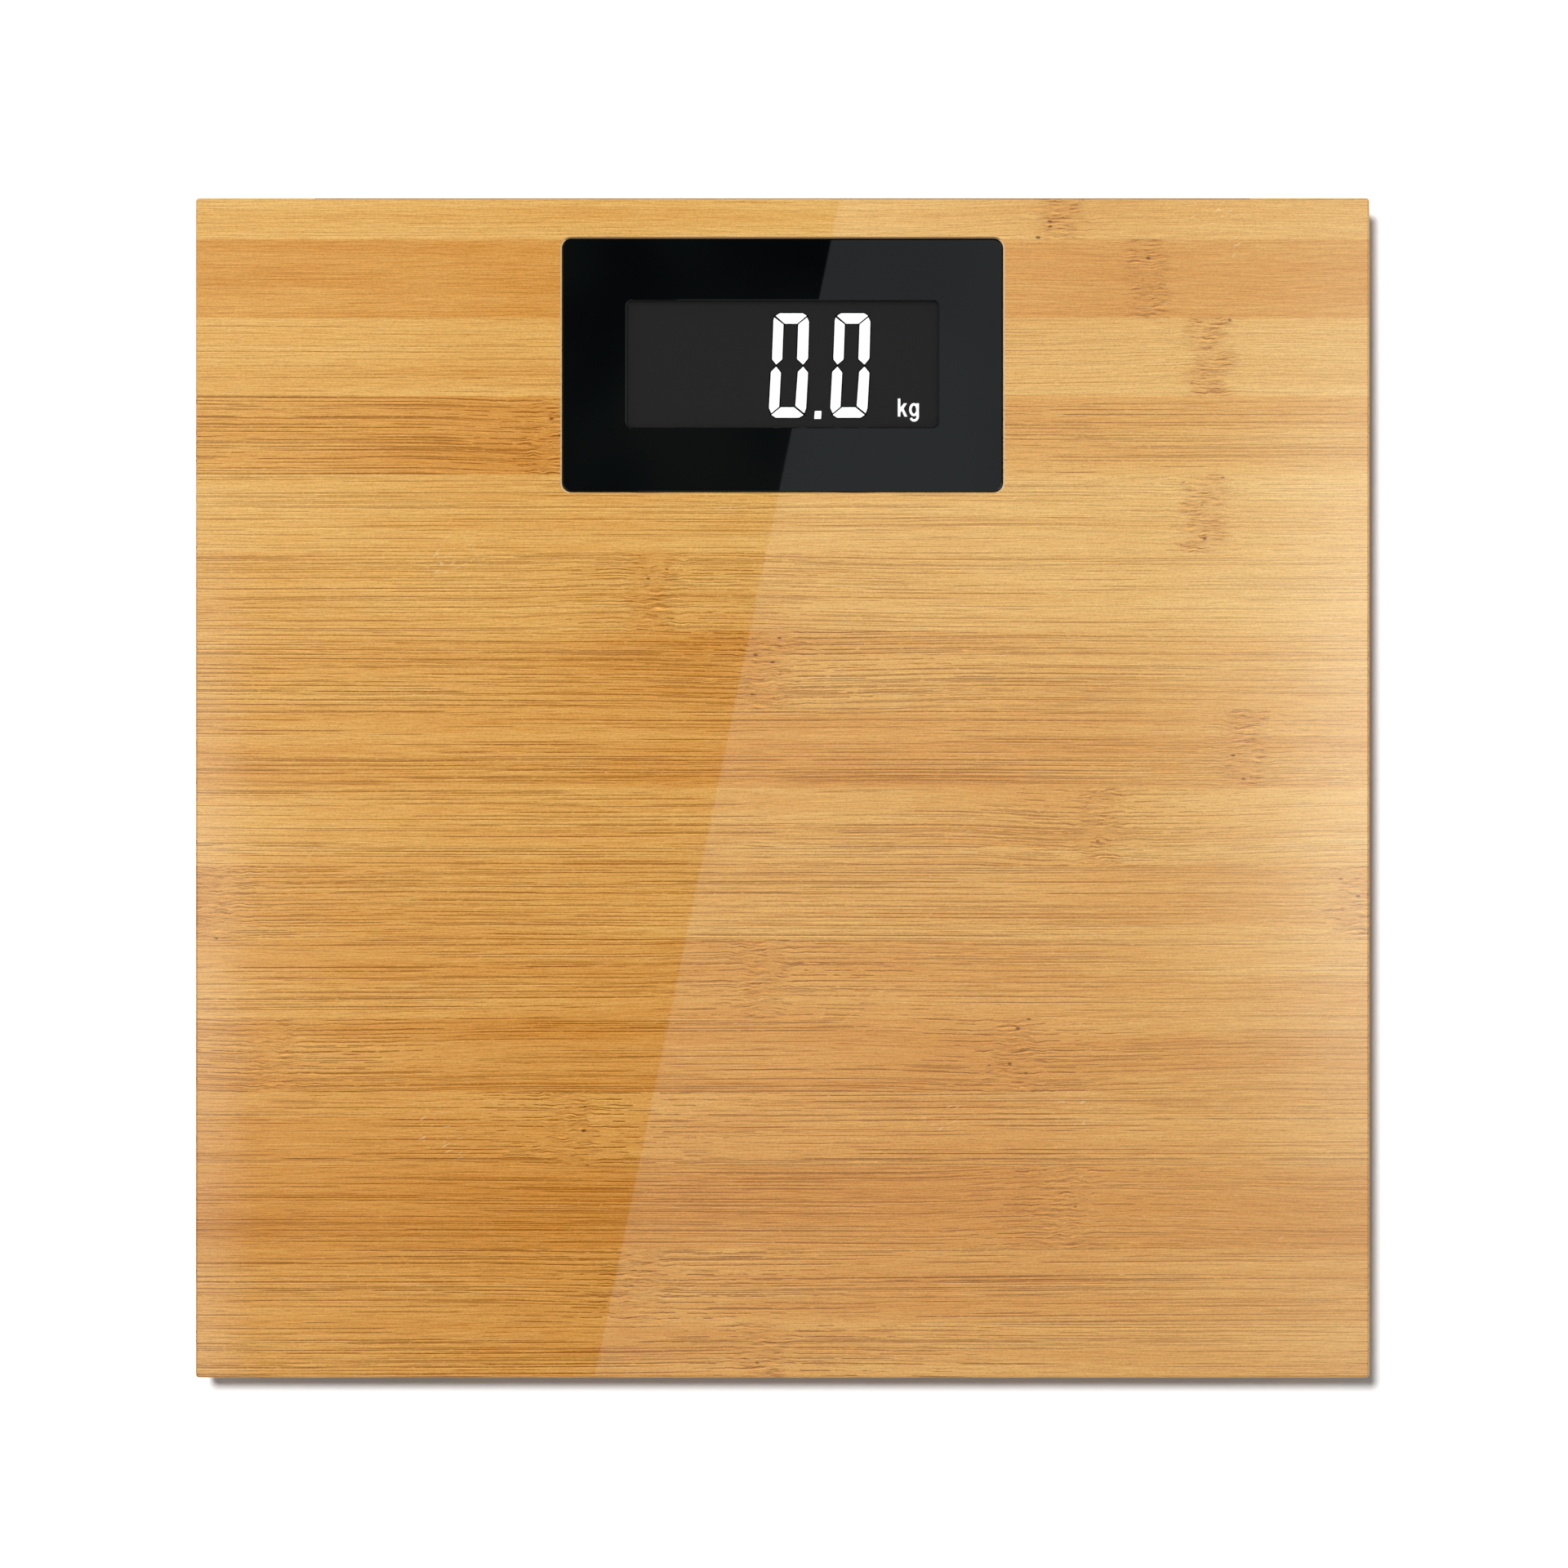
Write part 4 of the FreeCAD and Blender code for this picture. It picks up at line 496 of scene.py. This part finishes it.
def circuit():
    """Green solder mask with tracks under it."""
    s = Shader("circuit_green")
    x, y, z = s.split(s.place())
    grid = s.node("ShaderNodeTexBrick", (s.vector(x, y, 0.0),))
    grid.inputs["Scale"].default_value = 420.0
    grid.inputs["Mortar Size"].default_value = 0.06
    tracks = grid.outputs["Fac"]
    weave = s.noise(s.place(), 900.0, 2.0)
    colour = s.mix(tracks, rgb(14, 74, 38), rgb(30, 110, 58))
    colour = s.mix(s.math("MULTIPLY", weave, 0.3), colour, rgb(8, 52, 28))
    return s.finish(Base_Colour=colour, Roughness=0.34, Normal=s.bump(tracks, 0.00003))


def battery_sleeve():
    """A plain two-tone sleeve over the can, bare metal at its ends."""
    s = Shader("battery_shell")
    x, y, z = s.split(s.place())
    low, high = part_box("battery_front")
    from_end = s.math("DIVIDE", s.math("SUBTRACT", x, low.x), high.x - low.x)
    rear_row = s.math("GREATER_THAN", y, (high.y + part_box("battery_rear")[0].y) / 2)
    toward_plus = s.choose(rear_row, from_end, s.math("SUBTRACT", 1.0, from_end))
    band = s.smooth(toward_plus, 0.26, 0.262)
    bare = s.math("MAXIMUM", s.smooth(toward_plus, 0.975, 0.976), s.smooth(toward_plus, 0.012, 0.011))
    wear = s.noise(s.place(), 500.0, 3.0)
    colour = s.mix(band, rgb(190, 120, 50), rgb(38, 42, 48))
    colour = s.mix(bare, colour, rgb(190, 190, 186))
    colour = s.mix(s.math("MULTIPLY", wear, 0.2), colour, rgb(90, 90, 90))
    return s.finish(Base_Colour=colour, Roughness=0.28, Metallic=s.math("MULTIPLY", bare, 0.9))


MATERIALS = {
    "bamboo": bamboo(),
    "bezel_black": glossy_black(),
    "foam": rubber("foam", rgb(22, 22, 22), rgb(34, 34, 33)),
    "housing_black": moulded("housing_black", rgb(30, 30, 31), rgb(48, 48, 49), 0.52),
    "lcd": display_glass(),
    "light_guide": moulded("light_guide", rgb(214, 214, 208), rgb(240, 240, 236), 0.4, wear_and_trough_shade=0.0),
    "elastomer": rubber("elastomer", rgb(120, 120, 124), rgb(160, 160, 164)),
    "circuit_green": circuit(),
    "epoxy_black": moulded("epoxy_black", rgb(12, 12, 13), rgb(30, 30, 30), 0.25, 600.0),
    "connector_white": moulded("connector_white", rgb(206, 200, 180), rgb(226, 220, 204), 0.4),
    "button_grey": moulded("button_grey", rgb(112, 114, 116), rgb(138, 140, 142), 0.45),
    "battery_shell": battery_sleeve(),
    "contact_plating": metal("contact_plating", (0.55, 0.54, 0.50, 1), (0.78, 0.77, 0.74, 1), 0.18),
    "wire_jacket": rubber("wire_jacket", rgb(26, 26, 28), rgb(48, 48, 50)),
    "screw_steel": metal("screw_steel", (0.42, 0.42, 0.41, 1), (0.70, 0.70, 0.68, 1), 0.24),
    "cell_steel": metal("cell_steel", (0.40, 0.40, 0.40, 1), (0.62, 0.62, 0.62, 1), 0.3, 0.00001),
    "gauge_white": rubber("gauge_white", rgb(222, 222, 216), rgb(238, 238, 234)),
    "foot_black": moulded("foot_black", rgb(34, 34, 35), rgb(54, 54, 55), 0.5),
    "pad_rubber": rubber("pad_rubber", rgb(30, 30, 30), rgb(62, 61, 58)),
    "cover_black": moulded("cover_black", rgb(40, 40, 41), rgb(58, 58, 58), 0.55),
}


def dress(thing, material):
    thing.data.materials.clear()
    thing.data.materials.append(material)


for row in frame["record"]["subparts"]:
    dress(nodes[row["node"]], MATERIALS[row["material_slot"]])


# ---------------------------------------------------------------------------------- new pieces

def add_object(name, mesh, body="root", slot=None, material=None):
    thing = bpy.data.objects.new(name, mesh)
    bpy.context.scene.collection.objects.link(thing)
    if slot:
        dress(thing, MATERIALS[slot])
    if material:
        dress(thing, material)
    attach(thing, body)
    return thing


def rounded_corners(corners, radius, steps=5):
    """The corners of a flat outline, each replaced by an arc of about the radius."""
    outline = []
    count = len(corners)
    for place, corner in enumerate(corners):
        corner = Vector(corner)
        back = Vector(corners[place - 1]) - corner
        ahead = Vector(corners[(place + 1) % count]) - corner
        reach = min(radius, back.length * 0.45, ahead.length * 0.45)
        start = corner + back.normalized() * reach
        end = corner + ahead.normalized() * reach
        for step in range(steps + 1):
            share = step / steps
            outline.append(start * (1 - share) ** 2 + corner * 2 * share * (1 - share) + end * share ** 2)
    return outline


def plate_mesh(name, outlines, bottom, top):
    """Flat plates with straight sides, in metres, one for each outline."""
    shape = bmesh.new()
    for outline in outlines:
        low = [shape.verts.new((point.x, point.y, bottom)) for point in outline]
        high = [shape.verts.new((point.x, point.y, top)) for point in outline]
        shape.faces.new(low[::-1])
        shape.faces.new(high)
        for place in range(len(low)):
            following = (place + 1) % len(low)
            shape.faces.new((low[place], low[following], high[following], high[place]))
    bmesh.ops.recalc_face_normals(shape, faces=shape.faces)
    mesh = bpy.data.meshes.new(name)
    shape.to_mesh(mesh)
    shape.free()
    return mesh


# The six lit bars of a nought, in mm from the figure's lower left corner.
NOUGHT = [
    [(1.7, 26.1), (2.8, 26.75), (8.65, 26.75), (9.7, 26.1), (7.2, 24.05), (4.05, 24.05)],
    [(1.35, 25.7), (3.7, 23.9), (3.4, 14.95), (1.85, 13.6), (0.8, 14.95), (1.15, 24.9)],
    [(9.75, 25.7), (10.25, 24.6), (10.0, 15.15), (8.75, 13.6), (7.2, 15.0), (7.5, 23.9)],
    [(1.85, 13.1), (3.05, 11.55), (2.6, 2.8), (0.6, 1.15), (0.0, 2.5), (0.5, 11.75)],
    [(8.75, 13.1), (10.0, 11.55), (9.5, 2.45), (9.05, 1.15), (6.75, 3.0), (7.4, 11.75)],
    [(3.05, 2.7), (6.4, 2.7), (8.85, 0.7), (7.65, 0.0), (1.75, 0.0), (0.6, 0.75)],
]
GAP_ROUND_BARS = 0.32
FIGURE_LEFT_EDGES = (-3.48, 12.22)
FIGURE_BASE = 94.7
FIGURE_RISE = 0.03 * MM
MASK_RISE = 0.01 * MM
POINT = [(8.1, 94.4), (9.85, 94.4), (9.95, 96.45), (8.25, 96.45)]
LETTER_K = [(29.50, 99.6), (30.16, 99.6), (30.16, 97.3), (31.05, 98.4), (31.85, 98.4), (30.95, 97.05),
            (31.95, 95.0), (31.20, 95.0), (30.5, 96.5), (30.16, 96.05), (30.16, 95.0), (29.50, 95.0)]
BOWL_MIDDLE, BOWL_REACH = (33.62, 96.78), (0.90, 1.36)
LETTER_STROKE = 0.64
# The tail of the g, from the top of its stem round to its tip.
LETTER_G_TAIL = [(34.58, 98.4), (34.58, 95.0), (34.50, 94.55), (34.25, 94.2), (33.85, 94.02), (33.40, 94.05),
                 (33.02, 94.28), (32.86, 94.66)]


def stroke_outlines(points, width):
    """A pen stroke along the points, as one four-sided plate for each step of it."""
    points = [Vector(point) for point in points]
    sides = []
    for place, point in enumerate(points):
        back = points[max(place - 1, 0)]
        ahead = points[min(place + 1, len(points) - 1)]
        run = (ahead - back).normalized()
        aside = Vector((-run.y, run.x)) * width / 2
        sides.append((point + aside, point - aside))
    return [(sides[i][0], sides[i][1], sides[i + 1][1], sides[i + 1][0]) for i in range(len(sides) - 1)]


def grown(outline, reach):
    """A flat outline, run clockwise, with every side moved outwards."""
    moved = []
    count = len(outline)
    for place in range(count):
        here = Vector(outline[place])
        before = (here - Vector(outline[place - 1])).normalized()
        after = (Vector(outline[(place + 1) % count]) - here).normalized()
        out_before, out_after = Vector((-before.y, before.x)), Vector((-after.y, after.x))
        outward = (out_before + out_after).normalized()
        moved.append(here + outward * reach / max(outward.dot(out_before), 0.5))
    return moved


def in_metres(outline):
    return [Vector(point) * MM for point in outline]


def make_figures():
    lit, gap = lit_figure(), figure_gap()
    for rank, left in enumerate(FIGURE_LEFT_EDGES, start=1):
        origin = Vector((left, FIGURE_BASE))
        bars = [rounded_corners(in_metres([origin + Vector(corner) for corner in bar]), 0.18 * MM)
                for bar in NOUGHT]
        mesh = plate_mesh(f"figure_{rank}", bars, glass_top, glass_top + FIGURE_RISE)
        add_object(f"figure_{rank}", mesh, slot="lcd", material=lit)
        gaps = [in_metres([origin + corner for corner in grown(bar, GAP_ROUND_BARS)]) for bar in NOUGHT]
        mesh = plate_mesh(f"figure_gap_{rank}", gaps, glass_top, glass_top + MASK_RISE)
        add_object(f"figure_gap_{rank}", mesh, slot="lcd", material=gap)
    point = rounded_corners(in_metres(POINT), 0.12 * MM)
    add_object("decimal_point", plate_mesh("decimal_point", [point], glass_top, glass_top + FIGURE_RISE),
               slot="lcd", material=lit)

    bowl = []
    for step in range(33):
        turn = math.tau * step / 32
        bowl.append((BOWL_MIDDLE[0] + BOWL_REACH[0] * math.cos(turn),
                     BOWL_MIDDLE[1] + BOWL_REACH[1] * math.sin(turn)))
    outlines = [LETTER_K]
    outlines += stroke_outlines(bowl, LETTER_STROKE)
    outlines += stroke_outlines(LETTER_G_TAIL, LETTER_STROKE)
    mesh = plate_mesh("unit_mark", [in_metres(outline) for outline in outlines], glass_top,
                      glass_top + FIGURE_RISE)
    add_object("unit_mark", mesh, slot="lcd", material=lit)


def make_bezel():
    """The display's window plate, with its edges eased as polished acrylic has them."""
    mesh = nodes["bezel"].data.copy()
    mesh.name = "bezel_plate"
    plate = add_object("bezel_plate", mesh, slot="bezel_black")
    shape = bmesh.new()
    shape.from_mesh(mesh)
    bmesh.ops.remove_doubles(shape, verts=shape.verts, dist=1e-6)
    bmesh.ops.dissolve_limit(shape, angle_limit=math.radians(1), verts=shape.verts, edges=shape.edges)
    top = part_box("bezel")[1].z
    rim = [edge for edge in shape.edges if all(abs(v.co.z - top) < 1e-6 for v in edge.verts)]
    bmesh.ops.bevel(shape, geom=rim, offset=0.22 * MM, segments=3, profile=0.6, affect="EDGES")
    shape.to_mesh(mesh)
    shape.free()
    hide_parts("bezel")


make_figures()
make_bezel()


# ------------------------------------------------------------------------------- camera and light

CAMERA_HEIGHT = 1.113
CAMERA_SHIFT = Vector((0.37 * MM, 0.96 * MM))
CARD_HEIGHT = 1.5
KEY_PLACE = Vector((-0.200, 0.250, 1.62))
KEY_SIZE = 0.22
KEY_LEVEL = 0.75
FLOOR_EXTRA = 0.50
FILL = 0.22
FLOOR_CENTRE = Vector((-0.10, 0.12, 0.0))
FLOOR_RADIUS = 0.60
# where the edge of the lamp's reflection crosses the board's rear and front edges
GLINT_REAR_X, GLINT_FRONT_X = 14.7 * MM, -48.0 * MM
# The window's reflection, as an oval on the board in metres, and how bright the lamp, the window, the
# light beyond it, the wall to the left and the low part of that wall are.
WINDOW_MIDDLE, WINDOW_REACH = (0.180, 0.015), (0.100, 0.150)
LAMP_LEVEL, WINDOW_LEVEL, BEYOND_LEVEL, WALL_LEVEL, LOW_WALL_LEVEL = 1.15, 3.8, 0.80, 0.65, 1.0
LAMP_TINT, DAY_TINT, RIM_TINT = (0.84, 1.0, 0.96, 1), (1.0, 0.98, 0.76, 1), (0.82, 1.0, 1.0, 1)


def make_camera():
    data = bpy.data.cameras.new("camera")
    data.lens = 100
    data.sensor_width = 36
    data.clip_start = 0.01
    data.clip_end = 20
    camera = bpy.data.objects.new("camera", data)
    camera.location = (CAMERA_SHIFT.x, CAMERA_SHIFT.y, board_high.z + CAMERA_HEIGHT)
    bpy.context.scene.collection.objects.link(camera)
    bpy.context.scene.camera = camera


def make_floor():
    """A white disc, no wider than the lamp lights fully, so that it runs into the white beyond it."""
    shape = bmesh.new()
    bmesh.ops.create_circle(shape, cap_ends=True, radius=FLOOR_RADIUS, segments=128)
    bmesh.ops.translate(shape, verts=shape.verts, vec=FLOOR_CENTRE)
    mesh = bpy.data.meshes.new("floor")
    shape.to_mesh(mesh)
    shape.free()
    floor = bpy.data.objects.new("floor", mesh)
    bpy.context.scene.collection.objects.link(floor)
    material = bpy.data.materials.new("floor_white")
    material.use_nodes = True
    tree = material.node_tree
    surface = tree.nodes["Principled BSDF"]
    surface.inputs["Base Color"].default_value = (0.95, 0.95, 0.95, 1)
    surface.inputs["Roughness"].default_value = 0.9
    surface.inputs["Specular IOR Level"].default_value = 0.0
    clear = tree.nodes.new("ShaderNodeBsdfTransparent")
    geometry = tree.nodes.new("ShaderNodeNewGeometry")
    mixer = tree.nodes.new("ShaderNodeMixShader")
    tree.links.new(geometry.outputs["Backfacing"], mixer.inputs[0])
    tree.links.new(surface.outputs[0], mixer.inputs[1])
    tree.links.new(clear.outputs[0], mixer.inputs[2])
    tree.links.new(mixer.outputs[0], tree.nodes["Material Output"].inputs[0])
    dress(floor, material)
    return floor


def make_sky():
    """White to the eye, a soft fill for the surfaces, and brighter towards the horizon in gloss."""
    world = bpy.data.worlds.new("studio")
    world.use_nodes = True
    bpy.context.scene.world = world
    tree = world.node_tree
    background = tree.nodes["Background"]
    background.inputs["Color"].default_value = (1, 1, 1, 1)
    path = tree.nodes.new("ShaderNodeLightPath")
    direction = tree.nodes.new("ShaderNodeTexCoord")
    split = tree.nodes.new("ShaderNodeSeparateXYZ")
    tree.links.new(direction.outputs["Generated"], split.inputs[0])
    gloss = tree.nodes.new("ShaderNodeMapRange")
    gloss.interpolation_type = "SMOOTHSTEP"
    for place, value in zip(range(1, 5), (0.35, 0.92, 0.75, 0.06)):
        gloss.inputs[place].default_value = value
    tree.links.new(split.outputs[2], gloss.inputs[0])
    for_gloss = tree.nodes.new("ShaderNodeMix")
    for_gloss.inputs[2].default_value = FILL
    tree.links.new(path.outputs["Is Glossy Ray"], for_gloss.inputs[0])
    tree.links.new(gloss.outputs[0], for_gloss.inputs[3])
    for_eye = tree.nodes.new("ShaderNodeMix")
    for_eye.inputs[3].default_value = 1.05
    tree.links.new(path.outputs["Is Camera Ray"], for_eye.inputs[0])
    tree.links.new(for_gloss.outputs[0], for_eye.inputs[2])
    tree.links.new(for_eye.outputs[0], background.inputs["Strength"])


def make_key(name, level, lights=None):
    """A small softbox up and to the left: it gives the narrow shadow to the right and in front."""
    data = bpy.data.lights.new(name, "AREA")
    data.shape = "DISK"
    data.size = KEY_SIZE
    data.energy = level * math.pi ** 2 * KEY_PLACE.z ** 2
    key = bpy.data.objects.new(name, data)
    key.location = KEY_PLACE
    key.visible_glossy = False
    key.visible_camera = False
    bpy.context.scene.collection.objects.link(key)
    if lights:
        receivers = bpy.data.collections.new(name)
        receivers.objects.link(lights)
        key.light_linking.receiver_collection = receivers


def make_card():
    """A large softbox overhead. Only gloss sees it: its left edge is the slanting line on the board."""
    spread = 1 + CARD_HEIGHT / CAMERA_HEIGHT
    reach = 0.62
    mesh = bpy.data.meshes.new("softbox")
    mesh.from_pydata([(-reach, -reach, 0), (-reach, reach, 0), (reach, reach, 0), (reach, -reach, 0)], [],
                     [(0, 1, 2, 3)])
    card = bpy.data.objects.new("softbox", mesh)
    card.location = (CAMERA_SHIFT.x, CAMERA_SHIFT.y, board_high.z + CARD_HEIGHT)
    card.visible_camera = False
    card.visible_diffuse = False
    card.visible_shadow = False
    bpy.context.scene.collection.objects.link(card)
    s = Shader("softbox")
    x, y, _ = s.split(s.place())
    across = s.math("ADD", s.math("DIVIDE", x, spread), CAMERA_SHIFT.x)
    along = s.math("ADD", s.math("DIVIDE", y, spread), CAMERA_SHIFT.y)
    share = s.math("DIVIDE", s.math("SUBTRACT", along, board_low.y), board_size.y)
    line = s.choose(share, GLINT_FRONT_X, GLINT_REAR_X)
    lit = s.smooth(s.math("SUBTRACT", across, line), -0.00015, 0.00015)
    # a window beyond the right edge, and a paler wall to the left
    dx = s.math("DIVIDE", s.math("SUBTRACT", across, WINDOW_MIDDLE[0]), WINDOW_REACH[0])
    dy = s.math("DIVIDE", s.math("SUBTRACT", along, WINDOW_MIDDLE[1]), WINDOW_REACH[1])
    squares = s.math("ADD", s.math("MULTIPLY", dx, dx), s.math("MULTIPLY", dy, dy))
    window = s.smooth(s.math("SQRT", squares), 1.0, 0.0)
    beyond = s.smooth(across, 0.085, 0.160)
    wall = s.smooth(across, -0.045, -0.155)
    low_wall = s.math("MULTIPLY", s.smooth(across, -0.105, -0.152),
                      s.math("MULTIPLY", s.smooth(along, 0.03, -0.02), s.smooth(along, -0.125, -0.06)))
    daylight = s.math("MULTIPLY", window, WINDOW_LEVEL)
    for part, level in ((beyond, BEYOND_LEVEL), (wall, WALL_LEVEL), (low_wall, LOW_WALL_LEVEL)):
        daylight = s.math("ADD", daylight, s.math("MULTIPLY", part, level))
    strength = s.math("ADD", s.math("MULTIPLY", lit, LAMP_LEVEL), daylight)
    tint = s.mix(s.math("DIVIDE", daylight, strength), LAMP_TINT, DAY_TINT)
    # the brightest and coolest of it lies along the two side edges
    left_level = s.choose(s.smooth(along, 0.09, 0.02), 0.1, 1.5)
    left_rim = s.math("MULTIPLY", s.smooth(across, -0.132, -0.151), left_level)
    middle = s.smooth(s.math("ABSOLUTE", s.math("SUBTRACT", along, 0.005)), 0.11, 0.04)
    right_rim = s.math("MULTIPLY", s.smooth(across, 0.118, 0.152), s.choose(middle, 0.35, 1.1))
    rim = s.math("ADD", left_rim, right_rim)
    strength = s.math("ADD", strength, rim)
    tint = s.mix(s.math("DIVIDE", rim, strength), tint, RIM_TINT)
    glow = s.node("ShaderNodeEmission", (tint, strength))
    s.tree.links.new(glow.outputs[0], s.tree.nodes["Material Output"].inputs[0])
    dress(card, s.material)


make_camera()
floor = make_floor()
make_sky()
make_key("key", KEY_LEVEL)
make_key("floor_key", FLOOR_EXTRA, floor)
make_card()
scene = bpy.context.scene
scene.view_settings.view_transform = "Standard"
scene.view_settings.look = "None"
